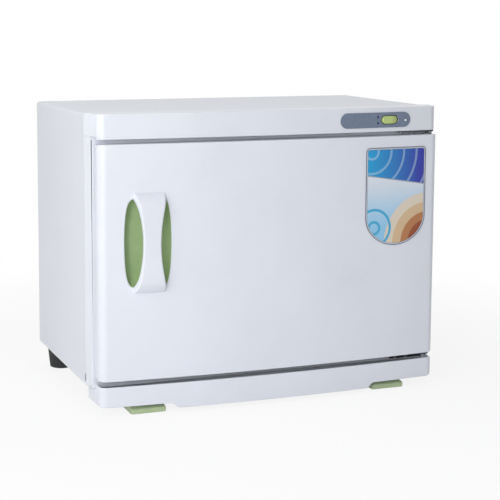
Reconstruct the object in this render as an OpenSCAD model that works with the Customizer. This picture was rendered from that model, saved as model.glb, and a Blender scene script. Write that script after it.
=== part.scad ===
// Towel warming cabinet with an ultraviolet lamp, a hinged door and a pull-out drip tray.
// Millimetres. +Z is up, the door faces -Y, +X is to the right of someone facing the door.
// The origin is under the middle of the whole object, on the table.

/* [Steel cabinet] */
// Width of the painted steel shell
body_w = 450; // [400:1:520]
// Depth of the shell, from the front frame to its rear edge
body_d = 231; // [200:1:300]
// Height of the shell, from its lower edge to its top
body_h = 319.5; // [280:0.5:380]
// Height of the shell's lower edge above the table
body_lift = 32; // [30:0.5:40]
// Thickness of the shell, base and rear sheets
sheet = 1; // [0.8:0.1:1.5]
// Outer radius of the shell's two upper edges
shell_r = 4; // [2.5:0.5:8]
// Width of the shell's inward flanges
flange_w = 12; // [9:0.5:14]
// Depth of the rear sheet inside the shell's rear edge
rear_recess = 2; // [1:0.5:4]
// Length of the vent slots
vent_l = 60; // [30:1:80]
// Width of the vent slots
vent_w = 4; // [2:0.5:5]
// Distance from one vent slot to the next
vent_pitch = 10; // [8:0.5:14]
// Number of vent slots in a column
vent_count = 7; // [3:1:8]
// Distance of the vent columns from the middle
vent_x = 110; // [60:1:120]

/* [Front frame and header] */
// Depth of the frame, from the seam with the shell to the door's corners
frame_d = 37; // [34:0.5:44]
// Height of the header over the door
header_h = 29.5; // [26:0.5:36]
// Height of the header's top above the shell's top
header_rise = 1.5; // [1:0.5:4]
// How far the header's front stands behind the door's front
header_back = 5; // [3:0.5:7]
// How much narrower the door and header are than the shell, on each side
side_taper = 6.5; // [4:0.5:9]
// How far the middle of the door and header bows forward of their corners
bow = 9; // [6:0.5:12]
// Radius of the upright front corners of header, door and tray
corner_r = 10.5; // [9:0.5:12]
// Wall of the moulded plastic parts
wall = 2.5; // [2:0.1:3]
// Thickness of the frame's flat face behind the door
face_t = 3.5; // [3:0.1:4]
// How far the frame's lower edge hangs below the shell
frame_drop = 1; // [0.5:0.1:1.5]
// Length of the frame's lips inside the shell
lip_l = 8; // [5:0.5:10]
// Clearance between pieces that fit inside one another
fit_gap = 0.3; // [0.2:0.05:0.4]

/* [Door] */
// Gap between the header and the door
top_gap = 5; // [4.8:0.1:7]
// Gap between the door and the drip tray's front
tray_gap = 6.5; // [6.2:0.1:8]
// Gap between the closed door's rear edge and the frame
door_stand = 1; // [0.6:0.1:1.5]
// Width of the door's rim outside the chamber's mouth, at each side
rim_side = 30.5; // [30:0.5:36]
// Width of the door's rim above and below the chamber's mouth
rim_end = 17; // [16:0.5:22]
// Depth of the door's inner sheet below its rear edge
liner_depth = 3; // [2:0.1:4]
// Thickness of the door's inner sheet
liner_t = 1.5; // [1:0.1:2]
// Width of the gasket
gasket_w = 10; // [7:0.5:10.5]
// Distance from the chamber's mouth to the gasket
gasket_out = 3; // [2:0.5:3.5]
// Margin of the inner sheet's raised panel inside the chamber's mouth
panel_margin = 4; // [3:0.5:8]

/* [Handle] */
// Distance of the handle's middle from the door's left edge
handle_inset = 57.8; // [50:0.1:80]
// Height of the handle's middle above the door's middle
handle_up = 23.5; // [0:0.5:50]
// Width of the recess
cup_w = 56; // [50:0.5:64]
// Height of the recess
cup_h = 104; // [96:0.5:112]
// How round the recess's outline is: 1 is an oval, less is squarer
cup_round_share = 0.24; // [0.2:0.02:0.6]
// Depth of the recess behind the door's face
cup_depth = 14; // [11:0.5:15]
// Wall of the recess
cup_t = 1.5; // [1:0.1:2]
// Width of the recess's lip behind the door's skin
cup_lip = 0.6; // [0.5:0.1:0.8]
// Width of the bar at its two ends
bar_w = 38; // [32:0.5:44]
// Width of the bar at its waist
bar_waist = 21; // [17:0.5:26]
// How far the bar reaches past the recess, above and below
bar_over = 6.5; // [6.5:0.5:9]
// How far the bar stands to the right of the recess's middle
bar_shift = 1.5; // [0:0.5:3]
// How far the bar stands off the door's face at its middle
bar_reach = 13; // [12:0.5:18]
// Thickness of the bar
bar_t = 5; // [4:0.1:6]
// Height of the bar's feet, above and below the opening behind it
bar_foot = 8; // [6:0.5:10]
// Distance of the bar's screws from its middle line
bar_screw_x = 11; // [9:0.5:13]

/* [Label] */
// Width of the label
label_w = 84.5; // [70:0.5:94]
// Height of the label
label_h = 121; // [100:1:150]
// Distance of the label's middle from the door's right edge
label_inset = 60.25; // [56:0.25:90]
// Distance of the label's top below the door's top
label_drop = 13.8; // [10:0.1:30]
// Height of the label's rounded lower end
label_round = 36; // [24:1:44]
// Thickness of the label
label_t = 0.5; // [0.3:0.1:1]

/* [Control plate] */
// Length of the grey control plate
plate_l = 97; // [90:1:110]
// Height of the grey control plate
plate_h = 18.6; // [16:0.1:20]
// Thickness of the grey control plate
plate_t = 0.8; // [0.5:0.1:1.2]
// Distance of the plate's middle from the header's right edge
plate_inset = 87.5; // [70:0.25:110]
// Height of the plate's middle above the header's lower edge
plate_up = 14.5; // [13:0.1:16.5]
// Width of the rocker
rocker_w = 21.5; // [20:0.5:26]
// Height of the rocker
rocker_h = 9.6; // [9:0.1:11]
// Distance of the rocker's middle from the plate's middle
rocker_x = 19.5; // [16:0.1:20]
// How far the rocker stands out of the plate
rocker_out = 2.2; // [1.5:0.1:3]
// Gap around the rocker
rocker_gap = 0.6; // [0.4:0.1:0.8]
// Tilt of the rocker from its middle to each of its two places
rocker_tilt = 6; // [3:0.5:7]
// Thickness of the header's wall in front of the switch
switch_skin = 1.2; // [1:0.1:1.6]
// Radius of the rocker's two pivot stubs
stub_r = 1.2; // [1:0.1:1.5]
// Thickness of the glue under the control plate and the label
glue_t = 0.1; // [0.05:0.05:0.2]
// Running clearance of pins and stubs, on the radius
run_gap = 0.05; // [0.02:0.01:0.08]
// Radius of the three lenses
lens_r = 1.5; // [1:0.1:2]
// Distance of the two stacked lenses from the plate's middle
lens_x = 3; // [0:0.1:4]
// Distance between the two stacked lenses
lens_pitch = 7.1; // [6:0.1:10]
// Distance of the power lens from the plate's middle
power_x = 41.8; // [36:0.1:42]

/* [Drip tray] */
// Height of the tray's top edge at the front
tray_top = 36; // [35:0.1:38]
// Height of the tray's lowest edge above the table
tray_low = 5.5; // [4:0.1:8]
// Depth of the tray behind the door's corners
tray_d = 51; // [45:0.5:60]
// Gap between the deep middle part of the tray and the front feet
sump_gap = 5; // [3:0.5:12]
// Width of the slope at each end of the deep part
sump_slope = 6; // [4:0.5:8]
// Clearance between the tray's walls and the frame above
tray_clear = 2; // [1.5:0.1:3]

/* [Feet] */
// Height of the front feet's toes under the tray
toe_h = 11.7; // [10:0.1:12.5]
// Width of the front feet
foot_w = 43; // [36:0.5:46]
// Distance of the front feet's middles from the shell's sides
foot_inset = 67.5; // [66:0.5:72]
// Distance of the toes' front ends behind the door's corners
toe_back = 4; // [3:0.5:8]
// How far the toes' front ends slope back towards their tops
toe_rake = 4; // [2:0.5:6]
// Depth of the front feet's blocks behind the tray
heel_d = 26; // [22:0.5:40]
// Gap between the tray and the front feet's blocks
heel_gap = 3; // [2:0.5:5]
// Radius of the rear feet at their tops
rear_foot_r = 12; // [10:0.5:14]
// Radius of the rear feet at the table
rear_foot_low_r = 10; // [8:0.5:10]
// Distance of the rear feet's middles from the shell's sides
rear_foot_x = 27; // [26:0.5:40]
// Distance of the rear feet's middles from the shell's rear edge
rear_foot_y = 20; // [18:0.5:30]

/* [Hinges and catch] */
// Radius of the hinge pins
pin_r = 2.5; // [2:0.1:3]
// Length of each pin inside the door
pin_l = 12; // [9:0.5:14]
// Thickness of the hinge plates
hinge_t = 2; // [1.5:0.1:2.2]
// Width of the hinge plates
hinge_w = 40; // [32:1:46]
// Wall of the bushes in the door
bush_t = 2; // [1.5:0.1:2.5]
// Length of the bushes in the door
bush_l = 14; // [13:0.5:16]
// Thickness of the bushes' flanges
bush_flange = 1; // [0.8:0.1:1.2]
// Radius of the bushes' flanges
bush_flange_r = 6; // [5.5:0.1:7]
// Width of the catch plate and magnet
catch_w = 8; // [6:0.5:9]
// Height of the catch plate and magnet
catch_h = 30; // [20:1:60]

/* [Chamber] */
// Thickness of the chamber's sheet
chamber_t = 1; // [0.6:0.1:1.2]
// Distance from the chamber's back to the shell's rear edge
chamber_back = 18; // [14:0.5:30]
// Width of the chamber's front flange
chamber_flange = 8; // [6:0.5:10]
// Thickness of the insulation at the sides
wool_side = 20; // [15:0.5:20.5]
// Thickness of the insulation on top
wool_top = 14; // [10:0.5:16]
// Height of the lower rack above the chamber's floor
low_rack_up = 62; // [40:1:90]
// Height from the lower rack to the upper rack
rack_pitch = 84; // [60:1:95]
// Width of the rack ledges
ledge_w = 8; // [6:0.5:10]
// Length of the rack ledges
ledge_l = 190; // [140:1:195]
// Radius of the racks' rim wire
rim_wire_r = 2; // [1.5:0.1:2.5]
// Radius of the racks' cross wires
wire_r = 1.25; // [1:0.05:1.5]
// Distance from one cross wire to the next
wire_pitch = 18; // [12:1:30]
// Corner radius of the racks
rack_r = 14; // [8:1:20]
// Gap between the racks and the chamber's sides
rack_side_gap = 2; // [1.5:0.5:4]
// Length of the racks
rack_l = 188; // [140:1:195]

/* [Lamp and heater] */
// Length of the ultraviolet tube
tube_l = 212; // [136:1:288]
// Radius of the ultraviolet tube
tube_r = 8; // [6:0.5:8]
// Distance of the tube's middle below the chamber's ceiling
tube_drop = 18; // [14:0.5:24]
// Distance of the tube's middle from the chamber's back
tube_back = 16; // [14:0.5:22]
// Thickness of the lamp holders
holder_t = 9; // [7:0.5:12]
// Thickness of the lamp guard
guard_t = 0.8; // [0.6:0.1:1]
// Gap between the tube and its guard
guard_gap = 5; // [4:0.5:8]
// Width of the guard's slots
guard_slot = 6; // [4:0.5:8]
// Distance from one guard slot to the next
guard_pitch = 14; // [10:1:20]
// Width of the heater pad under the chamber
pad_w = 280; // [200:1:340]
// Depth of the heater pad
pad_d = 150; // [100:1:180]
// Thickness of the heater pad
pad_t = 2; // [1.5:0.1:3]
// Width of the ballast
ballast_w = 60; // [40:1:80]
// Depth of the ballast
ballast_d = 34; // [24:1:40]
// Height of the ballast
ballast_h = 20; // [14:0.5:21]

/* [Cord inlet] */
// Radius of the cord gland's bore
gland_bore = 3.5; // [3:0.1:4.5]
// Radius of the cord gland's body
gland_r = 6; // [5.5:0.1:7]
// How far the gland stands out behind the shell
gland_reach = 10; // [8:0.5:14]
// Height of the gland above the shell's lower edge
gland_up = 30; // [24:1:60]
// Distance of the gland from the shell's side
gland_x = 60; // [45:1:100]

/* [Hidden] */
$fn = 64;
arc_fn = 1440;
slack = 1;

// Front plan: one large arc across the front, a small arc at each upright corner.
front_w = body_w - 2 * side_taper;
half_front = front_w / 2;
half_body = body_w / 2;
bow_r = (half_front * half_front + bow * bow) / (2 * bow);
handle_x = handle_inset - half_front;
function bow_at(x) = bow - bow_r + sqrt(bow_r * bow_r - x * x);

// Depth. The front of the handle and the rear of the gland are the two ends.
front_reach = bow_at(handle_x) + bar_reach;
total_d = front_reach + frame_d + body_d + gland_reach;
face_y = front_reach - total_d / 2;
head_y = face_y + header_back;
seam_y = face_y + frame_d;
rear_y = seam_y + body_d;
bow_cy = face_y - bow + bow_r;
corner_x = half_front - corner_r;
corner_y = bow_cy - sqrt(pow(bow_r - corner_r, 2) - corner_x * corner_x);
door_rear_y = corner_y + corner_r;
face_plate_y = door_rear_y + door_stand;
face_back_y = face_plate_y + face_t;
rear_sheet_y = rear_y - rear_recess - sheet;
chamber_front_y = face_back_y;
chamber_rear_y = rear_y - chamber_back;

// Heights.
body_top = body_lift + body_h;
front_top = body_top + header_rise;
header_z = front_top - header_h;
door_top = header_z - top_gap;
door_low = tray_top + tray_gap;
frame_low = body_lift - frame_drop;
base_z = body_lift + sheet;
base_top = base_z + sheet;
mouth_low = door_low + rim_end;
mouth_top = door_top - rim_end;
mouth_x = half_front - rim_side;
mid_z = (door_low + door_top) / 2;

// Hinge line, through the middle of the door's rounded edge.
hinge_x = corner_x;
hinge_y = corner_y;
lower_plate_z = door_low - bush_flange - fit_gap - hinge_t;
upper_plate_z = header_z - hinge_t;

// Fasteners.
screw_r = 1.5;
screw_head_r = 2.8;
screw_head_h = 1.6;
screw_gap = 0.2;

// A box from its two corners.
module box(x0, x1, y0, y1, z0, z1) {
    translate([x0, y0, z0]) cube([x1 - x0, y1 - y0, z1 - z0]);
}

// A cylinder along Y between two depths.
module rod_y(r, y0, y1, x, z) {
    translate([x, y1, z]) rotate([90, 0, 0]) cylinder(r = r, h = y1 - y0);
}

// A cylinder along X between two sides.
module rod_x(r, x0, x1, y, z) {
    translate([x0, y, z]) rotate([0, 90, 0]) cylinder(r = r, h = x1 - x0);
}

// A cylinder along Z between two heights.
module rod_z(r, z0, z1, x, y) {
    translate([x, y, z0]) cylinder(r = r, h = z1 - z0);
}

// A screw along Y with its head in front, at the smaller Y, and its seat at y.
module screw_back(x, y, z, l) {
    rod_y(screw_head_r, y - screw_head_h, y, x, z);
    rod_y(screw_r, y, y + l, x, z);
}

// The bowed front in plan, drawn in by inset and closed at depth y1.
module front_plan(inset, y1) {
    r = corner_r - inset;
    big = bow_r - inset;
    half = half_front - inset;
    tangent_x = corner_x * big / (big - r);
    intersection() {
        union() {
            intersection() {
                translate([0, bow_cy]) circle(r = big, $fn = arc_fn);
                translate([-tangent_x, face_y - 2 * bow]) square([2 * tangent_x, y1 - face_y + 2 * bow]);
            }
            for (side = [-1, 1]) translate([side * corner_x, corner_y]) circle(r = r);
            translate([-half, corner_y]) square([2 * half, y1 - corner_y]);
        }
        translate([-half_body, face_y - 2 * bow]) square([body_w, y1 - face_y + 2 * bow]);
    }
}

// The door in plan: the bowed front, and a half-round edge about the hinge line.
module door_plan(inset) {
    difference() {
        front_plan(inset, door_rear_y);
        translate([hinge_x, corner_y]) square([corner_r + slack, corner_r + slack]);
    }
    translate([hinge_x, corner_y]) circle(r = corner_r - inset);
}

// A thin layer on the bowed front, from depth d0 to depth d1 in front of the face. It is a little
// larger than w by h, so that an outline cuts all its edges.
module face_layer(d0, d1, x, z, w, h) {
    tall = h + 2 * slack;
    translate([0, bow_cy, z - tall / 2]) intersection() {
        difference() {
            cylinder(r = bow_r + d1, h = tall, $fn = arc_fn);
            translate([0, 0, -slack]) cylinder(r = bow_r + d0, h = tall + 2 * slack, $fn = arc_fn);
        }
        translate([x - w / 2 - slack, -bow_r - 2 * bow, -slack])
            cube([w + 2 * slack, 4 * bow, tall + 2 * slack]);
    }
}

// An upright plate in X and Z with round ends, cut through from y0 to y1.
module pill(x, z, l, h, y0, y1) {
    for (side = [-1, 1]) rod_y(h / 2, y0, y1, x + side * (l - h) / 2, z);
    box(x - (l - h) / 2, x + (l - h) / 2, y0, y1, z - h / 2, z + h / 2);
}

// Points of the recess's outline: an oval made squarer across.
function eased_cos(a) = sign(cos(a)) * pow(abs(cos(a)), cup_round_share);
function oval(w, h, n) = [for (i = [0:n - 1]) [w / 2 * eased_cos(360 * i / n), h / 2 * sin(360 * i / n)]];

// Turns a drawing in X and Z into a solid from y0 to y1.
module upright(y0, y1) {
    translate([0, y1, 0]) rotate([90, 0, 0]) linear_extrude(height = y1 - y0) children();
}

// Section of the shell: both sides and the top, with the lower flanges.
module shell_outline(inset) {
    half = half_body - inset;
    top = body_top - inset;
    r = shell_r - inset;
    for (side = [-1, 1]) translate([side * (half - r), top - r]) circle(r = r);
    translate([-half, body_lift]) square([2 * half, body_h - inset - r]);
    translate([-(half - r), top - r]) square([2 * (half - r), r]);
}

notch_h = 9;
notch_d = 1.5;
notch_up = 4;

module wrap_shell() {
    color("gainsboro") difference() {
        union() {
            difference() {
                upright(seam_y, rear_y) shell_outline(0);
                upright(seam_y - slack, rear_y + slack) intersection() {
                    shell_outline(sheet);
                    translate([-half_body, body_lift + sheet]) square([body_w, body_h]);
                }
                box(-half_body + flange_w, half_body - flange_w, seam_y - slack, rear_y + slack,
                    body_lift - slack, body_lift + 2 * sheet);
            }
            rear_flanges();
        }
        for (side = [-1, 1])
            box(side * half_body - 2 * sheet, side * half_body + 2 * sheet, seam_y - slack,
                seam_y + notch_d, body_lift + notch_up, body_lift + notch_up + notch_h);
        for (p = back_screw_spots) rod_y(screw_r + screw_gap, rear_sheet_y - 2 * sheet, rear_y, p[0], p[1]);
    }
}

// The shell's three inward flanges in front of the rear sheet.
module rear_flanges() {
    y0 = rear_sheet_y - sheet;
    inner = half_body - sheet;
    for (side = [-1, 1]) {
        x0 = side < 0 ? -inner - sheet / 2 : inner + sheet - flange_w;
        x1 = side < 0 ? -inner - sheet + flange_w : inner + sheet / 2;
        box(x0, x1, y0, y0 + sheet, body_lift + sheet / 2, body_top - shell_r);
    }
    box(-half_body + flange_w - slack, half_body - flange_w + slack, y0, y0 + sheet,
        body_top - flange_w, body_top - sheet / 2);
}

back_low = base_top + fit_gap;
back_top = body_top - sheet - fit_gap;
back_screw_end = 24;
back_screw_l = 6;
back_screw_spots = [
    for (side = [-1, 1]) for (z = [back_low + back_screw_end, mid_z, back_top - back_screw_end])
        [side * (half_body - flange_w / 2 - sheet / 2), z]];
gland_spot_x = half_body - gland_x;
gland_z = body_lift + gland_up;

module back_panel() {
    color("silver") difference() {
        upright(rear_sheet_y, rear_sheet_y + sheet) intersection() {
            shell_outline(sheet + fit_gap);
            translate([-half_body, back_low]) square([body_w, body_h]);
        }
        for (p = back_screw_spots)
            rod_y(screw_r + screw_gap, rear_sheet_y - slack, rear_sheet_y + sheet + slack, p[0], p[1]);
        rod_y(gland_r + fit_gap, rear_sheet_y - slack, rear_sheet_y + sheet + slack, gland_spot_x, gland_z);
        for (side = [-1, 1]) for (i = [0:vent_count - 1])
            pill(side * vent_x, mid_z + (i - (vent_count - 1) / 2) * vent_pitch, vent_l, vent_w,
                rear_sheet_y - slack, rear_sheet_y + sheet + slack);
    }
}

module back_screws() {
    color("darkgray") for (p = back_screw_spots) {
        rod_y(screw_head_r, rear_sheet_y + sheet, rear_sheet_y + sheet + screw_head_h, p[0], p[1]);
        rod_y(screw_r, rear_sheet_y + sheet - back_screw_l, rear_sheet_y + sheet, p[0], p[1]);
    }
}

base_w = body_w - 2 * sheet - 2 * fit_gap;
base_front_y = seam_y + lip_l + fit_gap;
base_rear_y = rear_sheet_y - sheet - fit_gap;
front_foot_x = half_body - foot_inset;
heel_y = face_y + tray_d + heel_gap;
heel_screw_in = 10.4;
heel_screw_y = heel_y + heel_d - heel_screw_in;
rear_foot_mid_x = half_body - rear_foot_x;
rear_foot_mid_y = rear_y - rear_foot_y;
foot_screw_l = 12;
toe_edge = 3;

// Where the feet are screwed to the base, as X and Y.
foot_screw_spots = concat(
    [for (side = [-1, 1]) for (off = [-1, 1]) [side * front_foot_x + off * foot_w / 4, heel_screw_y]],
    [for (side = [-1, 1]) [side * rear_foot_mid_x, rear_foot_mid_y]]);

module base_plate() {
    color("silver") difference() {
        box(-base_w / 2, base_w / 2, base_front_y, base_rear_y, base_z, base_top);
        for (p = foot_screw_spots) rod_z(screw_r + screw_gap, base_z - slack, base_top + slack, p[0], p[1]);
        for (i = [0:vent_count - 1])
            translate([(i - (vent_count - 1) / 2) * vent_pitch, (base_front_y + base_rear_y) / 2,
                base_z - slack])
                cube([vent_w, vent_l, 2 * sheet + 2 * slack]);
    }
}

module foot_screws() {
    color("darkgray") for (p = foot_screw_spots) {
        rod_z(screw_head_r, base_top, base_top + screw_head_h, p[0], p[1]);
        rod_z(screw_r, base_z - foot_screw_l, base_top, p[0], p[1]);
    }
}

// The lower hinge plate sits in a pocket of the frame's face, backed by a block.
pocket_x0 = hinge_x - hinge_w - fit_gap;
pocket_x1 = hinge_x + corner_r / 2 + fit_gap;
pocket_skin = 1.5;
pocket_z0 = frame_low + pocket_skin;
pocket_z1 = lower_plate_z + hinge_t;
block_d = 6;
block_side = 2;
block_up = 5;
block_x0 = pocket_x0 - block_side;
block_z1 = pocket_z1 + block_up;

module front_frame() {
    color("whitesmoke") difference() {
        union() {
            header();
            face_plate();
            side_walls();
            frame_lips();
            box(block_x0, pocket_x1, face_back_y - slack, face_back_y + block_d, frame_low + wall / 2,
                block_z1);
            box(block_x0, pocket_x1, face_back_y - slack, face_back_y + block_d,
                header_z + wall / 2, header_z + 3 * wall);
        }
        box(pocket_x0, pocket_x1, face_plate_y - slack, face_plate_y + hinge_t, pocket_z0, pocket_z1);
        catch_pocket();
        hinge_screw_holes(0);
        rocker_opening(face_plate_y - slack);
        switch_recess();
        for (p = lens_spots) rod_y(lens_r, face_y - 3 * bow, face_plate_y - slack, p[0], p[1]);
    }
}

// Thins the header's front wall so that the switch sits close behind the grey plate.
module switch_recess() {
    box(rocker_mid_x - switch_half_w - fit_gap, rocker_mid_x + switch_half_w + fit_gap,
        switch_front_y - fit_gap, head_y + bow, plate_z - switch_half_h - fit_gap,
            plate_z + switch_half_h + fit_gap);
}

// Plan of the header: the bowed front, widening to the shell at the seam.
module header_plan(inset, y1) {
    translate([0, header_back, 0]) front_plan(inset, corner_y + slack);
    polygon([
        [-half_front + inset, corner_y + header_back], [half_front - inset, corner_y + header_back],
        [half_body - inset, seam_y], [half_body - inset, y1],
        [-half_body + inset, y1], [-half_body + inset, seam_y]]);
}

module header() {
    difference() {
        translate([0, 0, header_z]) linear_extrude(height = header_h) header_plan(0, seam_y);
        translate([0, 0, header_z + wall]) linear_extrude(height = header_h - 2 * wall)
            header_plan(wall, seam_y + slack);
    }
}

module face_plate() {
    edge_x = half_front + side_taper * (face_back_y - corner_y) / (seam_y - corner_y) - wall;
    difference() {
        box(-edge_x - slack / 4, edge_x + slack / 4, face_plate_y, face_back_y, frame_low, header_z + wall);
        box(-mouth_x, mouth_x, face_plate_y - slack, face_back_y + slack, mouth_low, mouth_top);
    }
}

// The frame's two outer walls and its lower wall, from the face plate to the seam.
module side_walls() {
    k = side_taper / (seam_y - corner_y);
    front_x = half_front + k * (face_plate_y - corner_y);
    for (side = [-1, 1]) scale([side, 1, 1]) translate([0, 0, frame_low])
        linear_extrude(height = header_z + wall - frame_low)
            polygon([[front_x - wall, face_plate_y], [front_x, face_plate_y],
                [half_body, seam_y], [half_body - wall, seam_y]]);
    box(-half_body + wall, half_body - wall, face_back_y - slack, seam_y, frame_low, frame_low + wall);
}

// Lips that locate the frame inside the shell.
module frame_lips() {
    outer = half_body - sheet - fit_gap;
    for (side = [-1, 1]) {
        x0 = side < 0 ? -outer : outer - wall;
        box(x0, x0 + wall, seam_y - slack, seam_y + lip_l, base_top + 2 * sheet, header_z);
    }
    top = body_top - sheet - fit_gap;
    box(-outer + 2 * shell_r, outer - 2 * shell_r, seam_y - 4 * wall, seam_y + lip_l, top - wall, top);
    box(-outer + 2 * shell_r, outer - 2 * shell_r, seam_y - 4 * wall, seam_y - 3 * wall, top - wall,
        front_top - wall / 2);
}

catch_x = -(mouth_x + gasket_out + gasket_w + fit_gap + (half_front - wall - fit_gap)) / 2;
magnet_gap = 0.5;
catch_skin = 0.6;

module catch_pocket() {
    box(catch_x - catch_w / 2, catch_x + catch_w / 2, face_plate_y - slack, face_back_y - catch_skin,
        mid_z - catch_h / 2, mid_z + catch_h / 2);
}

module catch_magnet() {
    color("dimgray") box(catch_x - catch_w / 2, catch_x + catch_w / 2, face_plate_y,
        face_back_y - catch_skin,
        mid_z - catch_h / 2, mid_z + catch_h / 2);
}

hinge_screw_l = 5;
hinge_hole_spare = 2;
hinge_screw_in = 7;
hinge_screw_pitch = 15;
hinge_screw_x = hinge_x - hinge_w + hinge_screw_in;
hinge_screw_spots = [hinge_screw_x, hinge_screw_x + hinge_screw_pitch];
lower_screw_z = (pocket_z0 + fit_gap + lower_plate_z) / 2;
upper_screw_in = 5;
upper_screw_y = face_plate_y - upper_screw_in;

// Screw holes of both hinge plates, with some added radius.
module hinge_screw_holes(extra) {
    for (x = hinge_screw_spots) {
        rod_y(screw_r + extra, face_plate_y - slack,
            face_plate_y + hinge_t + hinge_screw_l + hinge_hole_spare,
            x, lower_screw_z);
        rod_z(screw_r + extra, upper_plate_z - slack, header_z + hinge_screw_l + hinge_hole_spare, x,
            upper_screw_y);
    }
}

module hinge_screws() {
    color("silver") for (x = hinge_screw_spots) {
        screw_back(x, face_plate_y, lower_screw_z, hinge_t + hinge_screw_l);
        rod_z(screw_head_r, upper_plate_z - screw_head_h, upper_plate_z, x, upper_screw_y);
        rod_z(screw_r, upper_plate_z, header_z + hinge_screw_l, x, upper_screw_y);
    }
}

// A flat hinge leaf that tapers from the frame, where it is deep in Y, to a round end about the pin.
module hinge_leaf(z, y1, deep) {
    difference() {
        hull() {
            rod_z(corner_r / 2, z, z + hinge_t, hinge_x, hinge_y);
            box(hinge_x - hinge_w, hinge_x + corner_r / 2, y1 - deep, y1, z, z + hinge_t);
        }
        rod_z(pin_r, z - slack, z + hinge_t + slack, hinge_x, hinge_y);
    }
}

module upper_hinge_plate() {
    color("silver") difference() {
        hinge_leaf(upper_plate_z, face_plate_y, 2 * upper_screw_in);
        hinge_screw_holes(screw_gap);
    }
}

module lower_hinge_plate() {
    color("silver") difference() {
        union() {
            hinge_leaf(lower_plate_z, face_plate_y + hinge_t, 2 * hinge_t);
            box(hinge_x - hinge_w, hinge_x + corner_r / 2, face_plate_y, face_plate_y + hinge_t,
                pocket_z0 + fit_gap, lower_plate_z + hinge_t);
        }
        hinge_screw_holes(screw_gap);
    }
}

module upper_hinge_pin() {
    color("silver") rod_z(pin_r, door_top - pin_l, upper_plate_z + hinge_t, hinge_x, hinge_y);
}

module lower_hinge_pin() {
    color("silver") rod_z(pin_r, lower_plate_z, door_low + pin_l, hinge_x, hinge_y);
}

// Control plate, rocker and lenses.
plate_x = half_front - plate_inset;
plate_z = header_z + plate_up;
rocker_mid_x = plate_x + rocker_x;
power_drop = 1;
lens_spots = [
    [plate_x + lens_x, plate_z + lens_pitch / 2], [plate_x + lens_x, plate_z - lens_pitch / 2],
    [plate_x + power_x, plate_z - power_drop]];

module panel_plate() {
    color("slategray") difference() {
        intersection() {
            translate([0, header_back, 0])
                face_layer(glue_t, glue_t + plate_t, plate_x, plate_z, plate_l, plate_h);
            pill(plate_x, plate_z, plate_l, plate_h, face_y - 3 * bow, head_y + bow);
        }
        rocker_opening(head_y + bow);
        for (p = lens_spots) rod_y(lens_r, face_y - 3 * bow, head_y + bow, p[0], p[1]);
    }
}

lens_l = 6;
lens_proud = 0.3;

module lens(p) {
    tip_y = head_y - bow_at(p[0]) - glue_t - plate_t - lens_proud;
    rod_y(lens_r, tip_y, tip_y + lens_l, p[0], p[1]);
}

module heat_lens() color("midnightblue") lens(lens_spots[0]);
module lamp_lens() color("midnightblue") lens(lens_spots[1]);
module power_lens() color("white") lens(lens_spots[2]);

// The rocker turns about an upright line just behind the header's thinned wall. Its ends are
// round about that line, so they stay the same distance from the opening.
switch_wall = 1.6;
switch_d = 14;
cheek_h = rocker_h / 2 + rocker_gap;
switch_half_h = cheek_h + switch_wall;
switch_front_y = head_y - bow_at(rocker_mid_x + rocker_w / 2) + switch_skin + fit_gap;
stub_cover = 0.4;
rocker_axis_y = switch_front_y + stub_r + stub_cover;
plate_front_y = head_y - bow_at(rocker_mid_x) - glue_t - plate_t;
rocker_deep = rocker_axis_y - plate_front_y;
rocker_end_r = sqrt(rocker_w * rocker_w / 4 + rocker_deep * rocker_deep);
switch_half_w = rocker_end_r + rocker_gap + switch_wall;
ridge_share = 0.4;
ridge_drop = 0.9;

// The opening through the header's wall and the grey plate.
module rocker_opening(y1) {
    pill(rocker_mid_x, plate_z, 2 * rocker_end_r + 2 * rocker_gap, 2 * cheek_h, face_y - 3 * bow, y1);
}

module switch_rocker() {
    tall = rocker_deep + rocker_out;
    color("yellowgreen") translate([rocker_mid_x, rocker_axis_y, plate_z]) rotate([0, 0, rocker_tilt]) {
        intersection() {
            translate([0, 0, -rocker_h]) cylinder(r = rocker_end_r, h = 2 * rocker_h);
            pill(0, 0, 2 * rocker_end_r, rocker_h, -2 * tall, 0);
            translate([0, 0, -rocker_h]) linear_extrude(height = 2 * rocker_h)
                polygon([[-rocker_w, 0], [-rocker_w, -tall + ridge_drop],
                    [ridge_share * rocker_w / 2, -tall], [rocker_w, -tall + 3 * ridge_drop], [rocker_w, 0]]);
        }
        cylinder(r = 2 * stub_r, h = rocker_h - 1, center = true);
        cylinder(r = stub_r, h = 2 * switch_half_h, center = true);
    }
}

module switch_body() {
    color("black") difference() {
        box(rocker_mid_x - switch_half_w, rocker_mid_x + switch_half_w, switch_front_y,
            switch_front_y + switch_d, plate_z - switch_half_h, plate_z + switch_half_h);
        box(rocker_mid_x - switch_half_w + switch_wall, rocker_mid_x + switch_half_w - switch_wall,
            switch_front_y - slack, switch_front_y + switch_d / 2, plate_z - cheek_h, plate_z + cheek_h);
        rod_z(stub_r + run_gap, plate_z - 2 * rocker_h, plate_z + 2 * rocker_h, rocker_mid_x, rocker_axis_y);
    }
}

// Feet.
module front_foot(side) {
    x0 = side * front_foot_x - foot_w / 2;
    color("darkseagreen") difference() {
        translate([x0, 0, 0]) rotate([90, 0, 90]) linear_extrude(height = foot_w)
            polygon([[face_y + toe_back, 0], [heel_y + heel_d, 0], [heel_y + heel_d, base_z],
                [heel_y, base_z], [heel_y, toe_h], [face_y + toe_back + toe_rake, toe_h],
                [face_y + toe_back, toe_edge]]);
        for (p = foot_screw_spots) rod_z(screw_r, base_z - foot_screw_l - slack, base_z + slack, p[0], p[1]);
    }
}

module front_foot_left() front_foot(-1);
module front_foot_right() front_foot(1);

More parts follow.
